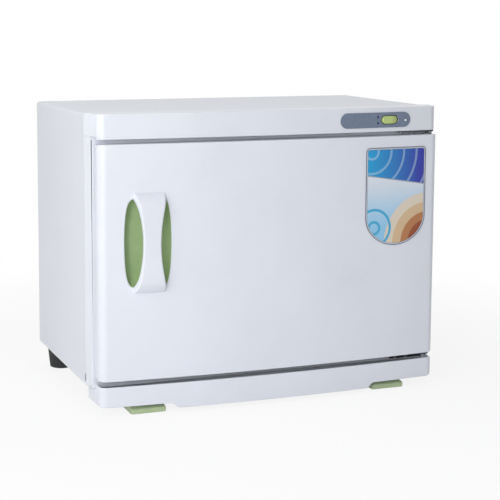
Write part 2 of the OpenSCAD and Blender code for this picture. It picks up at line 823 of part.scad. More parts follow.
module rear_foot(side) {
    color("dimgray") translate([side * rear_foot_mid_x, rear_foot_mid_y, 0]) difference() {
        rotate_extrude() polygon([[0, 0], [rear_foot_low_r, 0], [rear_foot_r, base_z], [0, base_z]]);
        translate([0, 0, base_z - foot_screw_l - slack]) cylinder(r = screw_r, h = foot_screw_l + 2 * slack);
    }
}

module rear_foot_left() rear_foot(-1);
module rear_foot_right() rear_foot(1);

// Cord inlet: a hollow gland with an outer flange, held by a nut.
gland_flange_w = 4;
gland_flange_t = 2;
nut_w = 3.5;
nut_t = 4;
gland_tail = 2;
gland_y0 = rear_sheet_y - nut_t - gland_tail;

module cord_gland() {
    color("black") difference() {
        union() {
            rod_y(gland_r, gland_y0, rear_y + gland_reach, gland_spot_x, gland_z);
            rod_y(gland_r + gland_flange_w, rear_sheet_y + sheet, rear_sheet_y + sheet + gland_flange_t,
                gland_spot_x, gland_z);
        }
        rod_y(gland_bore, gland_y0 - slack, rear_y + gland_reach + slack, gland_spot_x, gland_z);
    }
}

module gland_nut() {
    color("black") difference() {
        translate([gland_spot_x, rear_sheet_y, gland_z]) rotate([90, 0, 0])
            cylinder(r = gland_r + nut_w, h = nut_t, $fn = 6);
        rod_y(gland_r, rear_sheet_y - nut_t - slack, rear_sheet_y + slack, gland_spot_x, gland_z);
    }
}

// Chamber: a folded sheet box open at the front, with a flange behind the frame's face.
chamber_x = mouth_x + chamber_t;

module chamber() {
    color("lightsteelblue") difference() {
        union() {
            box(-chamber_x, chamber_x, chamber_front_y, chamber_rear_y, mouth_low - chamber_t,
                mouth_top + chamber_t);
            box(-mouth_x - chamber_flange, mouth_x + chamber_flange, chamber_front_y,
                chamber_front_y + chamber_t,
                mouth_low - chamber_flange, mouth_top + chamber_flange);
        }
        box(-mouth_x, mouth_x, chamber_front_y - slack, chamber_rear_y - chamber_t, mouth_low, mouth_top);
        for (x = holder_spots) rod_y(screw_r, chamber_rear_y - 2 * chamber_t, chamber_rear_y + slack, x,
            tube_z);
    }
}

wool_front_y = chamber_front_y + chamber_t + fit_gap;
wool_rear_y = rear_sheet_y - sheet - fit_gap;
wool_low = base_top + screw_head_h + fit_gap;
pad_y0 = (chamber_front_y + chamber_rear_y) / 2 - pad_d / 2;
pad_z0 = mouth_low - chamber_t - pad_t;
stat_r = 9;
stat_h = 9;
fuse_r = 2.5;
fuse_l = 14;
stat_x = -40;
stat_leg_h = 3;
stat_leg_w = 3;
stat_leg_t = 0.8;
stat_leg_x = 4;
fuse_x = 40;
gland_room = 14;
holder_screw_room = 5;
pad_mid_y = pad_y0 + pad_d / 2;

module insulation() {
    color("khaki") difference() {
        box(-chamber_x - wool_side, chamber_x + wool_side, wool_front_y, wool_rear_y,
            wool_low, mouth_top + chamber_t + wool_top);
        box(-chamber_x, chamber_x, wool_front_y - slack, chamber_rear_y, mouth_low - chamber_t,
            mouth_top + chamber_t);
        box(-pad_w / 2 - slack, pad_w / 2 + slack, pad_y0 - slack, pad_y0 + pad_d + slack,
            pad_z0 - fit_gap, mouth_low);
        rod_z(stat_r + slack, pad_z0 - stat_h - slack, mouth_low, stat_x, pad_mid_y);
        box(fuse_x - fuse_l / 2 - slack, fuse_x + fuse_l / 2 + slack, pad_mid_y - fuse_r - slack,
            pad_mid_y + fuse_r + slack, pad_z0 - 2 * fuse_r - slack, mouth_low);
        box(gland_spot_x - gland_room, gland_spot_x + gland_room, wool_rear_y - gland_room,
            wool_rear_y + slack,
            gland_z - gland_room, gland_z + gland_room);
        for (x = holder_spots)
            rod_y(screw_head_r + slack, chamber_rear_y - slack, chamber_rear_y + holder_screw_room, x,
                tube_z);
        box(block_x0 - slack, chamber_x + wool_side + slack, wool_front_y - slack,
            face_back_y + block_d + slack,
            wool_low - slack, block_z1 + slack);
    }
}

module heater_pad() {
    color("darkorange") box(-pad_w / 2, pad_w / 2, pad_y0, pad_y0 + pad_d, pad_z0, pad_z0 + pad_t);
}

module thermostat() {
    color("dimgray") {
        rod_z(stat_r, pad_z0 - stat_h + stat_leg_h, pad_z0, stat_x, pad_mid_y);
        for (x = [stat_x - stat_leg_x, stat_x + stat_leg_x])
            box(x - stat_leg_w / 2, x + stat_leg_w / 2, pad_mid_y - stat_leg_t / 2,
                pad_mid_y + stat_leg_t / 2,
                pad_z0 - stat_h, pad_z0 - stat_h + stat_leg_h + stat_leg_t);
    }
}

module thermal_fuse() {
    color("silver") rod_x(fuse_r, fuse_x - fuse_l / 2, fuse_x + fuse_l / 2, pad_mid_y, pad_z0 - fuse_r);
}

// Racks rest on folded ledges spot welded to the chamber's sides.
rack_y0 = (chamber_front_y + chamber_rear_y) / 2 - rack_l / 2;
ledge_y0 = (chamber_front_y + chamber_rear_y) / 2 - ledge_l / 2;
low_rack_z = mouth_low + low_rack_up;
high_rack_z = low_rack_z + rack_pitch;
ledge_web = 8;
rack_rest = 0.1;
wire_up = 1.2;

module runners(side) {
    color("silver") for (z = [low_rack_z, high_rack_z]) {
        x0 = side < 0 ? -mouth_x : mouth_x - ledge_w;
        box(x0, x0 + ledge_w, ledge_y0, ledge_y0 + ledge_l, z - chamber_t, z);
        x1 = side < 0 ? -mouth_x : mouth_x - chamber_t;
        box(x1, x1 + chamber_t, ledge_y0, ledge_y0 + ledge_l, z - ledge_web, z - chamber_t / 2);
    }
}

module left_runners() runners(-1);
module right_runners() runners(1);

// A quarter turn of rim wire about an upright line.
module wire_corner(x, y, z, turn) {
    translate([x, y, z]) rotate([0, 0, turn])
        rotate_extrude(angle = 90) translate([rack_r - rim_wire_r, 0]) circle(r = rim_wire_r, $fn = 24);
}

module rack(z) {
    rim_z = z + rim_wire_r + rack_rest;
    x1 = mouth_x - rack_side_gap - rim_wire_r;
    y0 = rack_y0 + rim_wire_r;
    y1 = rack_y0 + rack_l - rim_wire_r;
    bend = rack_r - rim_wire_r;
    count = floor((x1 - bend) / wire_pitch);
    color("silver") {
        for (y = [y0, y1]) rod_x(rim_wire_r, -x1 + bend, x1 - bend, y, rim_z);
        for (x = [-x1, x1]) rod_y(rim_wire_r, y0 + bend, y1 - bend, x, rim_z);
        wire_corner(x1 - bend, y1 - bend, rim_z, 0);
        wire_corner(-x1 + bend, y1 - bend, rim_z, 90);
        wire_corner(-x1 + bend, y0 + bend, rim_z, 180);
        wire_corner(x1 - bend, y0 + bend, rim_z, 270);
        for (i = [-count:count])
            rod_y(wire_r, y0, y1, i * wire_pitch, rim_z + wire_up);
    }
}

module upper_rack() rack(high_rack_z);
module lower_rack() rack(low_rack_z);

// Ultraviolet tube across the back, under the ceiling, with its holders and slotted guard.
tube_z = mouth_top - tube_drop;
tube_y = chamber_rear_y - chamber_t - tube_back;
holder_spots = [-(tube_l / 2 + holder_t / 2), tube_l / 2 + holder_t / 2];
guard_end_gap = 3;
guard_x = tube_l / 2 + holder_t + guard_end_gap;
guard_y0 = tube_y - tube_r - guard_gap;
guard_z0 = tube_z - tube_r - guard_gap;
guard_z1 = tube_z + tube_r + guard_gap;
guard_edge = 4;
tube_pin_r = 0.6;
tube_pin_l = 4;
tube_pin_up = 2.4;
holder_bore = 3.2;
holder_screw_r = 1.4;
holder_screw_out = 3;
guard_count = floor((tube_l / 2 - guard_slot) / guard_pitch);

module lamp_tube() {
    color("lightcyan") {
        rod_x(tube_r, -tube_l / 2, tube_l / 2, tube_y, tube_z);
        for (up = [-tube_pin_up, tube_pin_up])
            rod_x(tube_pin_r, -tube_l / 2 - tube_pin_l, tube_l / 2 + tube_pin_l, tube_y, tube_z + up);
    }
}

module lamp_holders() {
    color("white") for (side = [-1, 1]) {
        x0 = side < 0 ? -tube_l / 2 - holder_t : tube_l / 2;
        difference() {
            box(x0, x0 + holder_t, tube_y - tube_r, chamber_rear_y - chamber_t, tube_z - tube_r,
                tube_z + tube_r);
            rod_x(holder_bore, -tube_l / 2 - tube_pin_l - slack, tube_l / 2 + tube_pin_l + slack, tube_y,
                tube_z);
        }
        rod_y(holder_screw_r, chamber_rear_y - 2 * chamber_t, chamber_rear_y + holder_screw_out,
            x0 + holder_t / 2, tube_z);
    }
}

module lamp_guard() {
    color("gainsboro") difference() {
        box(-guard_x, guard_x, guard_y0, chamber_rear_y - chamber_t, guard_z0, guard_z1);
        box(-guard_x - slack, guard_x + slack, guard_y0 + guard_t, chamber_rear_y - chamber_t + slack,
            guard_z0 + guard_t, guard_z1 - guard_t);
        for (i = [-guard_count:guard_count]) {
            box(i * guard_pitch - guard_slot / 2, i * guard_pitch + guard_slot / 2,
                guard_y0 - slack, guard_y0 + 2 * slack, guard_z0 + guard_edge, guard_z1 - guard_edge);
            box(i * guard_pitch - guard_slot / 2, i * guard_pitch + guard_slot / 2,
                guard_y0 + guard_edge, tube_y + tube_r, guard_z0 - slack, guard_z0 + 2 * slack);
        }
    }
}

// Electrical pieces on a steel tray over the insulation, behind the header.
parts_z = mouth_top + chamber_t + wool_top + sheet;
parts_w = 208;
parts_x1 = mouth_x;
parts_x0 = parts_x1 - parts_w;
parts_front_gap = 30;
parts_rear_gap = 20;
parts_y0 = chamber_front_y + parts_front_gap;
parts_y1 = chamber_rear_y - parts_rear_gap;

module component_tray() {
    color("silver") box(parts_x0, parts_x1, parts_y0, parts_y1, parts_z - sheet, parts_z);
}

ballast_side = 40;
ballast_x = parts_x0 + ballast_side;
ballast_in = 10;
ballast_ear = 10;
ballast_ear_w = 18;
ballast_ear_t = 1.5;

module ballast() {
    y0 = parts_y0 + ballast_in;
    ear_y0 = y0 + ballast_d / 2 - ballast_ear_w / 2;
    color("dimgray") {
        box(ballast_x, ballast_x + ballast_w, y0, y0 + ballast_d, parts_z, parts_z + ballast_h);
        box(ballast_x - ballast_ear, ballast_x + ballast_w + ballast_ear, ear_y0, ear_y0 + ballast_ear_w,
            parts_z, parts_z + ballast_ear_t);
    }
}

starter_r = 9;
starter_l = 36;
starter_side = 10;
starter_x = ballast_x + starter_side;
starter_gap = 30;
starter_lift = 1;
starter_base_l = 8;
starter_base_w = 24;

module lamp_starter() {
    y = parts_y0 + ballast_in + ballast_d + starter_gap;
    color("white") {
        rod_x(starter_r, starter_x, starter_x + starter_l, y, parts_z + starter_lift + starter_r);
        box(starter_x - starter_base_l / 2, starter_x + starter_base_l / 2, y - starter_base_w / 2,
            y + starter_base_w / 2, parts_z, parts_z + 2 * starter_r);
    }
}

term_side = 30;
term_in = 20;
term_w = 18;
term_h = 14;
way_pitch = 12;
way_count = 4;
way_r = 2.5;
way_deep = 6;
way_off = 4;

module terminal_block() {
    x0 = parts_x1 - term_side - way_count * way_pitch;
    y0 = parts_y0 + term_in;
    color("ivory") difference() {
        box(x0, x0 + way_count * way_pitch, y0, y0 + term_w, parts_z, parts_z + term_h);
        for (i = [0:way_count - 1]) for (off = [-way_off, way_off])
            rod_z(way_r, parts_z + term_h - way_deep, parts_z + term_h + slack,
                x0 + (i + 0.5) * way_pitch, y0 + term_w / 2 + off);
    }
}

// Door.
cavity_z0 = door_low + wall;
cavity_z1 = door_top - wall;
liner_rear_y = door_rear_y - liner_depth;
liner_front_y = liner_rear_y - liner_t;
hinge_wall_x = mouth_x + gasket_out + gasket_w + fit_gap;
handle_z = mid_z + handle_up;
bush_r = pin_r + run_gap + bush_t;
oval_n = 64;
foam_side = 7;
foam_end = 6;

module at_handle(y0, y1) {
    translate([handle_x, 0, handle_z]) upright(y0, y1) children();
}

module door_shell() {
    color("whitesmoke") difference() {
        translate([0, 0, door_low]) linear_extrude(height = door_top - door_low) door_plan(0);
        translate([0, 0, cavity_z0]) linear_extrude(height = cavity_z1 - cavity_z0) difference() {
            front_plan(wall, door_rear_y + slack);
            translate([hinge_wall_x, face_y - bow]) square([2 * corner_r + slack, 4 * corner_r]);
        }
        at_handle(face_y - 3 * bow, face_y + bow) polygon(oval(cup_w, cup_h, oval_n));
        for (p = bar_screw_spots) rod_y(screw_r + screw_gap, face_y - 3 * bow, face_y + bow, p[0], p[1]);
        for (z = [door_low - slack, door_top - bush_l])
            rod_z(bush_r, z, z + bush_l + slack, hinge_x, hinge_y);
    }
}

module door_foam() {
    color("khaki") difference() {
        translate([0, 0, cavity_z0 + fit_gap]) linear_extrude(height = cavity_z1 - cavity_z0 - 2 * fit_gap)
            difference() {
                front_plan(wall + fit_gap, liner_front_y - fit_gap);
                translate([hinge_wall_x - fit_gap, face_y - bow]) square([2 * corner_r + slack,
                    4 * corner_r]);
            }
        at_handle(face_y - 3 * bow, door_rear_y) polygon(oval(cup_w + 2 * foam_side,
            bar_h + 2 * foam_end, oval_n));
    }
}

module door_liner() {
    x1 = half_front - wall - fit_gap;
    z0 = cavity_z0 + fit_gap;
    z1 = cavity_z1 - fit_gap;
    px = mouth_x - panel_margin;
    color("white") difference() {
        union() {
            box(-x1, hinge_wall_x - fit_gap, liner_front_y, liner_rear_y, z0, z1);
            box(-px, px, liner_rear_y - slack / 2, door_rear_y, mouth_low + panel_margin,
                mouth_top - panel_margin);
        }
        box(-px + liner_t, px - liner_t, liner_front_y - slack, door_rear_y - liner_t,
            mouth_low + panel_margin + liner_t, mouth_top - panel_margin - liner_t);
    }
}

module door_gasket() {
    x0 = mouth_x + gasket_out;
    z0 = mouth_low - gasket_out;
    z1 = mouth_top + gasket_out;
    color("gray") difference() {
        box(-x0 - gasket_w, x0 + gasket_w, liner_rear_y, face_plate_y - fit_gap, z0 - gasket_w,
            z1 + gasket_w);
        box(-x0, x0, liner_rear_y - slack, face_plate_y + slack, z0, z1);
    }
}

module catch_strike() {
    color("silver") box(catch_x - catch_w / 2, catch_x + catch_w / 2, liner_rear_y,
        face_plate_y - magnet_gap,
        mid_z - catch_h / 2, mid_z + catch_h / 2);
}

module bush(z0, z1, flange_z0) {
    difference() {
        union() {
            rod_z(bush_r, z0, z1, hinge_x, hinge_y);
            rod_z(bush_flange_r, flange_z0, flange_z0 + bush_flange, hinge_x, hinge_y);
        }
        rod_z(pin_r + run_gap, z0 - 2 * slack, z1 + 2 * slack, hinge_x, hinge_y);
    }
}

module upper_bush() color("ivory") bush(door_top - bush_l, door_top, door_top);
module lower_bush() color("ivory") bush(door_low, door_low + bush_l, door_low - bush_flange);

// The recess is a bowl, rounded towards its floor, with a lip behind the door's skin.
hull_n = 40;
cup_round = 4;
cup_slant = 2.5;
cup_floor_in = 8;
cup_long = 1.4;
cup_back = 0.4;

module cup_slice(grow, inset, y0, y1) {
    at_handle(y0, y1)
        polygon(oval(cup_w + 2 * grow - 2 * inset, cup_h + 2 * grow - 2 * cup_long * inset, hull_n));
}

module cup_form(grow, y1) {
    hull() {
        cup_slice(grow, 0, face_y - 3 * bow, face_y - 3 * bow + slack);
        cup_slice(grow, cup_slant, y1 - cup_round, y1 - cup_round + slack / 10);
        cup_slice(grow, cup_floor_in, y1 - slack / 10, y1);
    }
}

module cup_face(inset, depth) {
    translate([0, bow_cy, handle_z - cup_h]) difference() {
        cylinder(r = bow_r - inset, h = 2 * cup_h, $fn = arc_fn);
        translate([0, 0, -slack]) cylinder(r = bow_r - inset - depth, h = 2 * cup_h + 2 * slack,
            $fn = arc_fn);
    }
}

module handle_cup() {
    floor_y = face_y - bow_at(handle_x) + cup_depth;
    color("darkseagreen") difference() {
        union() {
            intersection() {
                cup_form(-fit_gap, floor_y + cup_t);
                cup_face(cup_back, 4 * bow);
            }
            intersection() {
                cup_face(wall, cup_t);
                at_handle(face_y - 3 * bow, face_y + bow) polygon(oval(cup_w + 2 * cup_lip,
                    cup_h + 2 * cup_lip, oval_n));
            }
        }
        cup_form(-fit_gap - cup_t, floor_y);
    }
}

// The bar is a half oval seen from the side, with a waist seen from the front.
bar_h = cup_h + 2 * bar_over;
waist_cut = (bar_w - bar_waist) / 2;
waist_r = (bar_h * bar_h / 4 + waist_cut * waist_cut) / (2 * waist_cut);
bar_screw_deep = 2.4;
bar_x = handle_x + bar_shift;
bar_screw_up = cup_h / 2 + cup_lip + screw_head_r + screw_gap;
bar_screw_spots = [
    for (side = [-1, 1]) for (up = [-1, 1]) [bar_x + side * bar_screw_x, handle_z + up * bar_screw_up]];

// Half oval in Y and Z, bulging towards -Y from depth y.
function half_oval(y, reach, h, n) =
    [for (i = [0:n]) [y - reach * sin(180 * i / n), handle_z + h / 2 * cos(180 * i / n)]];

module handle_bar() {
    crest_y = face_y - front_reach;
    root_y = crest_y + bar_reach;
    color("whitesmoke") difference() {
        translate([bar_x - bar_w / 2, 0, 0]) rotate([90, 0, 90]) linear_extrude(height = bar_w)
            difference() {
                polygon(concat(half_oval(root_y, bar_reach, bar_h, 40),
                    [[face_y, handle_z - bar_h / 2], [face_y, handle_z + bar_h / 2]]));
                polygon(concat(half_oval(root_y, bar_reach - bar_t, bar_h - 2 * bar_foot, 40),
                    [[face_y + slack, handle_z - bar_h / 2 + bar_foot],
                    [face_y + slack, handle_z + bar_h / 2 - bar_foot]]));
            }
        for (side = [-1, 1]) rod_y(waist_r, crest_y - slack, face_y + slack,
            bar_x + side * (bar_waist / 2 + waist_r), handle_z, $fn = arc_fn);
        translate([0, bow_cy, handle_z - bar_h]) cylinder(r = bow_r, h = 2 * bar_h, $fn = arc_fn);
        for (p = bar_screw_spots)
            rod_y(screw_r, face_y - bow_at(p[0]) - bar_screw_deep, face_y + slack, p[0], p[1]);
    }
}

module handle_screws() {
    color("silver") for (p = bar_screw_spots) {
        skin_y = face_y - bow_at(p[0]) + wall + screw_gap;
        rod_y(screw_head_r, skin_y, skin_y + screw_head_h, p[0], p[1]);
        rod_y(screw_r, skin_y - screw_gap - wall - bar_screw_deep, skin_y, p[0], p[1]);
    }
}

// Label outline, seen from the front: square top corners, eased, and a rounded lower end.
label_x = half_front - label_inset;
label_top = door_top - label_drop;
label_corner = 5;

module label_outline() {
    half = label_w / 2;
    low = label_top - label_h + label_round;
    for (side = [-1, 1]) translate([label_x + side * (half - label_corner), label_top - label_corner])
        circle(r = label_corner);
    translate([label_x - half + label_corner, low]) square([label_w - 2 * label_corner, label_top - low]);
    polygon(concat(
        [[label_x + half, label_top - label_corner], [label_x - half, label_top - label_corner]],
        [for (a = [180:6:360]) [label_x + half * cos(a), low + label_round * sin(a)]]));
}

module door_label() {
    color("steelblue") intersection() {
        face_layer(glue_t, glue_t + label_t, label_x, label_top - label_h / 2, label_w, label_h);
        upright(face_y - 3 * bow, face_y + bow) label_outline();
    }
}

// Drip tray: shallow over the feet at each end, deeper in the middle, with a tall bowed front.
tray_side_low = toe_h + fit_gap;
tray_wall_top = frame_low - tray_clear;
tray_inset = 0.3;
sump_half = front_foot_x - foot_w / 2 - sump_gap - sump_slope / 2;

// Section across the tray, seen from the front.
module tray_section(inset, top) {
    half = half_front + slack;
    mid = sump_half - inset;
    polygon([[-half, top], [-half, tray_side_low + inset], [-mid - sump_slope / 2, tray_side_low + inset],
        [-mid + sump_slope / 2, tray_low + inset], [mid - sump_slope / 2, tray_low + inset],
        [mid + sump_slope / 2, tray_side_low + inset], [half, tray_side_low + inset], [half, top]]);
}

module tray_form(inset, floor_t, y1) {
    intersection() {
        linear_extrude(height = tray_top + floor_t) front_plan(inset, y1);
        upright(face_y - 3 * bow, face_y + 2 * tray_d) tray_section(floor_t, tray_top + floor_t);
    }
}

module drip_tray() {
    color("whitesmoke") difference() {
        tray_form(tray_inset, 0, face_y + tray_d);
        tray_form(tray_inset + wall, wall, face_y + tray_d - wall);
        box(-half_front, half_front, corner_y, face_y + tray_d + slack, tray_wall_top, tray_top + slack);
    }
}

wrap_shell();
back_panel();
base_plate();
front_frame();
chamber();
insulation();
left_runners();
right_runners();
upper_rack();
lower_rack();
heater_pad();
thermostat();
thermal_fuse();
lamp_tube();
lamp_holders();
lamp_guard();
component_tray();
ballast();
lamp_starter();
terminal_block();
panel_plate();
switch_body();
switch_rocker();
heat_lens();
lamp_lens();
power_lens();
upper_hinge_plate();
lower_hinge_plate();
upper_hinge_pin();
lower_hinge_pin();
hinge_screws();
catch_magnet();
front_foot_left();
front_foot_right();
rear_foot_left();
rear_foot_right();
foot_screws();
back_screws();
cord_gland();
gland_nut();
door_shell();
door_foam();
door_liner();
door_gasket();
handle_cup();
handle_bar();
handle_screws();
door_label();
upper_bush();
lower_bush();
catch_strike();
drip_tray();
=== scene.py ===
import math

import bmesh
import bpy
from mathutils import Matrix, Vector


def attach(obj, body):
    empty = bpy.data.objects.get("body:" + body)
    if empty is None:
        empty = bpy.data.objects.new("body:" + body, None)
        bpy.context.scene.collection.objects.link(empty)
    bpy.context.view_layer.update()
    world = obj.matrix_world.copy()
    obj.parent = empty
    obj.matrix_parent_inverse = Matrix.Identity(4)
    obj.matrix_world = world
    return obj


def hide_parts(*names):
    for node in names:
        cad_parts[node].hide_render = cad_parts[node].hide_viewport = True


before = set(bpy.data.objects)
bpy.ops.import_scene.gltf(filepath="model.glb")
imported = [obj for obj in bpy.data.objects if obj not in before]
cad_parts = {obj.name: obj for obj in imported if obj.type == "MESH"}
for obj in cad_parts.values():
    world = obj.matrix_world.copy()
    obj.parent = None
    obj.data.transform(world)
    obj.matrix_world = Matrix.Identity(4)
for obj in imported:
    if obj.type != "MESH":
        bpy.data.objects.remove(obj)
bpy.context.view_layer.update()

# Camera. It looks from a little above the cabinet and from its left, through a long lens, so that
# the uprights stay upright. The place and the turn are given in the cabinet's own frame.
mm = 0.001
eye = Vector((-635.008, -1591.983, 466.324)) * mm
yaw, pitch, roll = (math.radians(a) for a in (20.242, 7.041, -0.138))
ahead = Vector((math.sin(yaw) * math.cos(pitch), math.cos(yaw) * math.cos(pitch), -math.sin(pitch)))
level = Vector((math.cos(yaw), -math.sin(yaw), 0))
drop = ahead.cross(level)
across = level * math.cos(roll) + drop * math.sin(roll)
upright = level * math.sin(roll) - drop * math.cos(roll)
camera = bpy.data.objects.new("camera", bpy.data.cameras.new("camera"))
bpy.context.collection.objects.link(camera)
camera.matrix_world = Matrix.Translation(eye) @ Matrix((across, upright, -ahead)).transposed().to_4x4()
camera.data.sensor_width = 36
camera.data.lens = 97.161
camera.data.shift_x, camera.data.shift_y = 0.10, -0.14
bpy.context.scene.camera = camera
bpy.context.scene.view_settings.view_transform = "Standard"


# Studio. A white room lit softly all round, with a large lamp box at the left, a smaller one by the
# camera that reaches into the gaps, and one overhead. The floor and the room look white to the
# camera, and the floor keeps the cabinet's shadow.
def add(tree, kind, values=(), **settings):
    """Adds a shader node, with values or links for its inputs and settings of its own."""
    made = tree.nodes.new("ShaderNode" + kind)
    for key, value in settings.items():
        setattr(made, key, value)
    for key, value in dict(values).items():
        if isinstance(value, bpy.types.NodeSocket):
            tree.links.new(value, made.inputs[key])
        else:
            made.inputs[key].default_value = value
    return made


def seen_share(tree):
    """1 where the camera sees a surface straight, mirrored or through glass, and 0 for all other light."""
    path = add(tree, "LightPath")
    shiny = add(tree, "Math", {0: path.outputs["Is Glossy Ray"], 1: path.outputs["Is Transmission Ray"]},
                operation="MAXIMUM")
    return add(tree, "Math", {0: path.outputs["Is Camera Ray"], 1: shiny.outputs[0]},
               operation="MAXIMUM").outputs[0]


room = bpy.data.worlds.new("room")
bpy.context.scene.world = room
room.use_nodes = True
tree = room.node_tree
tree.nodes.clear()
soft = add(tree, "Background", {"Color": (0.96, 0.98, 1.0, 1), "Strength": 0.374})
white = add(tree, "Background", {"Color": (1, 1, 1, 1), "Strength": 1.0})
both = add(tree, "MixShader", {0: seen_share(tree), 1: soft.outputs[0], 2: white.outputs[0]})
add(tree, "OutputWorld", {"Surface": both.outputs[0]})


def lamp_box(name, place, aim, size, power, tint):
    """A flat lamp at a place, turned to its aim. Metres and watts."""
    lamp = bpy.data.objects.new(name, bpy.data.lights.new(name, "AREA"))
    bpy.context.collection.objects.link(lamp)
    lamp.data.shape, lamp.data.size, lamp.data.size_y = "RECTANGLE", *size
    lamp.data.energy, lamp.data.color = power, tint
    turn = (Vector(aim) - Vector(place)).to_track_quat("-Z", "Y").to_matrix().to_4x4()
    lamp.matrix_world = Matrix.Translation(place) @ turn


lamp_box("key_lamp", (-0.85, -0.75, 0.75), (-0.08, -0.05, 0.2), (0.9, 0.9), 5.8, (1, 0.995, 0.985))
lamp_box("front_lamp", (-1.15, -1.5, 0.47), (-0.1, -0.12, 0.18), (0.5, 0.3), 7.2, (1, 1, 1))
lamp_box("roof_lamp", (0.0, 0.3, 1.6), (0.0, 0.05, 0.3), (1.2, 0.8), 4.1, (1, 1, 1))

floor_mesh = bpy.data.meshes.new("floor")
bm = bmesh.new()
bmesh.ops.create_circle(bm, cap_ends=True, segments=96, radius=5)
bm.to_mesh(floor_mesh)
bm.free()
floor = bpy.data.objects.new("floor", floor_mesh)
bpy.context.collection.objects.link(floor)
paper = bpy.data.materials.new("paper")
paper.use_nodes = True
tree = paper.node_tree
tree.nodes.clear()
# Near the cabinet a small share of the floor is lit paper, which shows the shadow. Farther out the
# floor only glows white.
shadow_full, shadow_gone, glow_near = 0.3, 0.9, 0.85
spot = add(tree, "TexCoord")
away = add(tree, "VectorMath", {0: spot.outputs["Object"]}, operation="LENGTH")
fade = add(tree, "MapRange", {"Value": away.outputs["Value"], "From Min": shadow_full,
                              "From Max": shadow_gone, "To Min": glow_near, "To Max": 1.0},
           interpolation_type="SMOOTHSTEP")
share = add(tree, "Math", {0: fade.outputs[0], 1: seen_share(tree)}, operation="MULTIPLY")
lit = add(tree, "BsdfDiffuse", {"Color": (0.93, 0.93, 0.93, 1)})
glow = add(tree, "Emission", {"Color": (1, 1, 1, 1), "Strength": 1.0})
both = add(tree, "MixShader", {0: share.outputs[0], 1: lit.outputs[0], 2: glow.outputs[0]})
add(tree, "OutputMaterial", {"Surface": both.outputs[0]})
floor_mesh.materials.append(paper)


# Shell. One steel sheet folded over the top and down both sides, powder coated in a cool white that
# lies a little uneven, like the skin of an orange. It has a stiffening flange under each side, and
# a short open slit at the foot of each seam with the front frame.
def tone(*parts):
    """A colour from its red, green and blue as a screen shows them, 0 to 255."""
    return tuple(p / 255 / 12.92 if p <= 10 else ((p / 255 + 0.055) / 1.055) ** 2.4 for p in parts) + (1,)


def finish(name, colour, rough, metal=0.0, drift=0.02, patch=0.09, grain=0.0009, depth=0.006, lie=(1, 1, 1),
           gloss_drift=0.05, edge_wear_and_highlight=0.0, cells=False, print_on=None, **own):
    """Principled finish: slow colour drift, fine grain as bump and gloss, edges paler as wear and painted
    highlight.
    """
    made = bpy.data.materials.new(name)
    made.use_nodes = True
    tree = made.node_tree
    shader = tree.nodes["Principled BSDF"]
    spot = add(tree, "TexCoord")
    turn = add(tree, "Mapping", {"Vector": spot.outputs["Object"], "Scale": lie})
    if cells:
        broad = add(tree, "TexVoronoi", {"Vector": spot.outputs["Object"], "Scale": 1 / patch})
        broad_value = add(tree, "SeparateColor", {"Color": broad.outputs["Color"]}).outputs[0]
    else:
        broad = add(tree, "TexNoise", {"Vector": spot.outputs["Object"], "Scale": 1 / patch, "Detail": 3.0})
        broad_value = broad.outputs["Fac"]
    fine = add(tree, "TexNoise", {"Vector": turn.outputs[0], "Scale": 1 / grain, "Detail": 2.0})
    ramp = add(tree, "ValToRGB", {"Fac": broad_value})
    dark_end, light_end = ramp.color_ramp.elements
    dark_end.position, light_end.position = 0.32, 0.68
    dark_end.color = tuple(c * (1 - drift) for c in colour[:3]) + (1,)
    light_end.color = tuple(min(1, c * (1 + drift)) for c in colour[:3]) + (1,)
    shown = ramp.outputs["Color"]
    if print_on:
        shown = print_on(tree, spot)
    mixed = add(tree, "Math", {0: broad_value, 1: fine.outputs["Fac"]}, operation="ADD")
    gloss = add(tree, "MapRange", {"Value": mixed.outputs[0], "From Min": 0.6, "From Max": 1.4,
                                   "To Min": rough - gloss_drift, "To Max": rough + gloss_drift})
    if edge_wear_and_highlight:
        # Edges, where the rounded and the flat normal differ, are made paler: wear and a painted highlight.
        round_off = add(tree, "Bevel", {"Radius": 1.2 * mm}, samples=4)
        flat = add(tree, "NewGeometry")
        turned_by = add(tree, "VectorMath", {0: round_off.outputs[0], 1: flat.outputs["Normal"]},
                        operation="DOT_PRODUCT")
        edge = add(tree, "MapRange", {"Value": turned_by.outputs["Value"], "From Min": 0.995,
                                      "From Max": 0.85, "To Min": 0.0, "To Max": edge_wear_and_highlight})
        worn_and_lit_edge = add(tree, "Math", {0: edge.outputs[0], 1: fine.outputs["Fac"]}, operation="MULTIPLY")
        paler = tuple(c + (1 - c) * 0.5 for c in colour[:3]) + (1,)
        shown = add(tree, "Mix", {0: worn_and_lit_edge.outputs[0], 6: shown, 7: paler}, data_type="RGBA").outputs[2]
    bump = add(tree, "Bump", {"Height": fine.outputs["Fac"], "Distance": depth * mm, "Strength": 1.0})
    tree.links.new(shown, shader.inputs["Base Color"])
    tree.links.new(gloss.outputs[0], shader.inputs["Roughness"])
    tree.links.new(bump.outputs[0], shader.inputs["Normal"])
    shader.inputs["Metallic"].default_value = metal
    for key, value in own.items():
        shader.inputs["IOR" if key == "ior" else key.replace("_", " ").title()].default_value = value
    return made


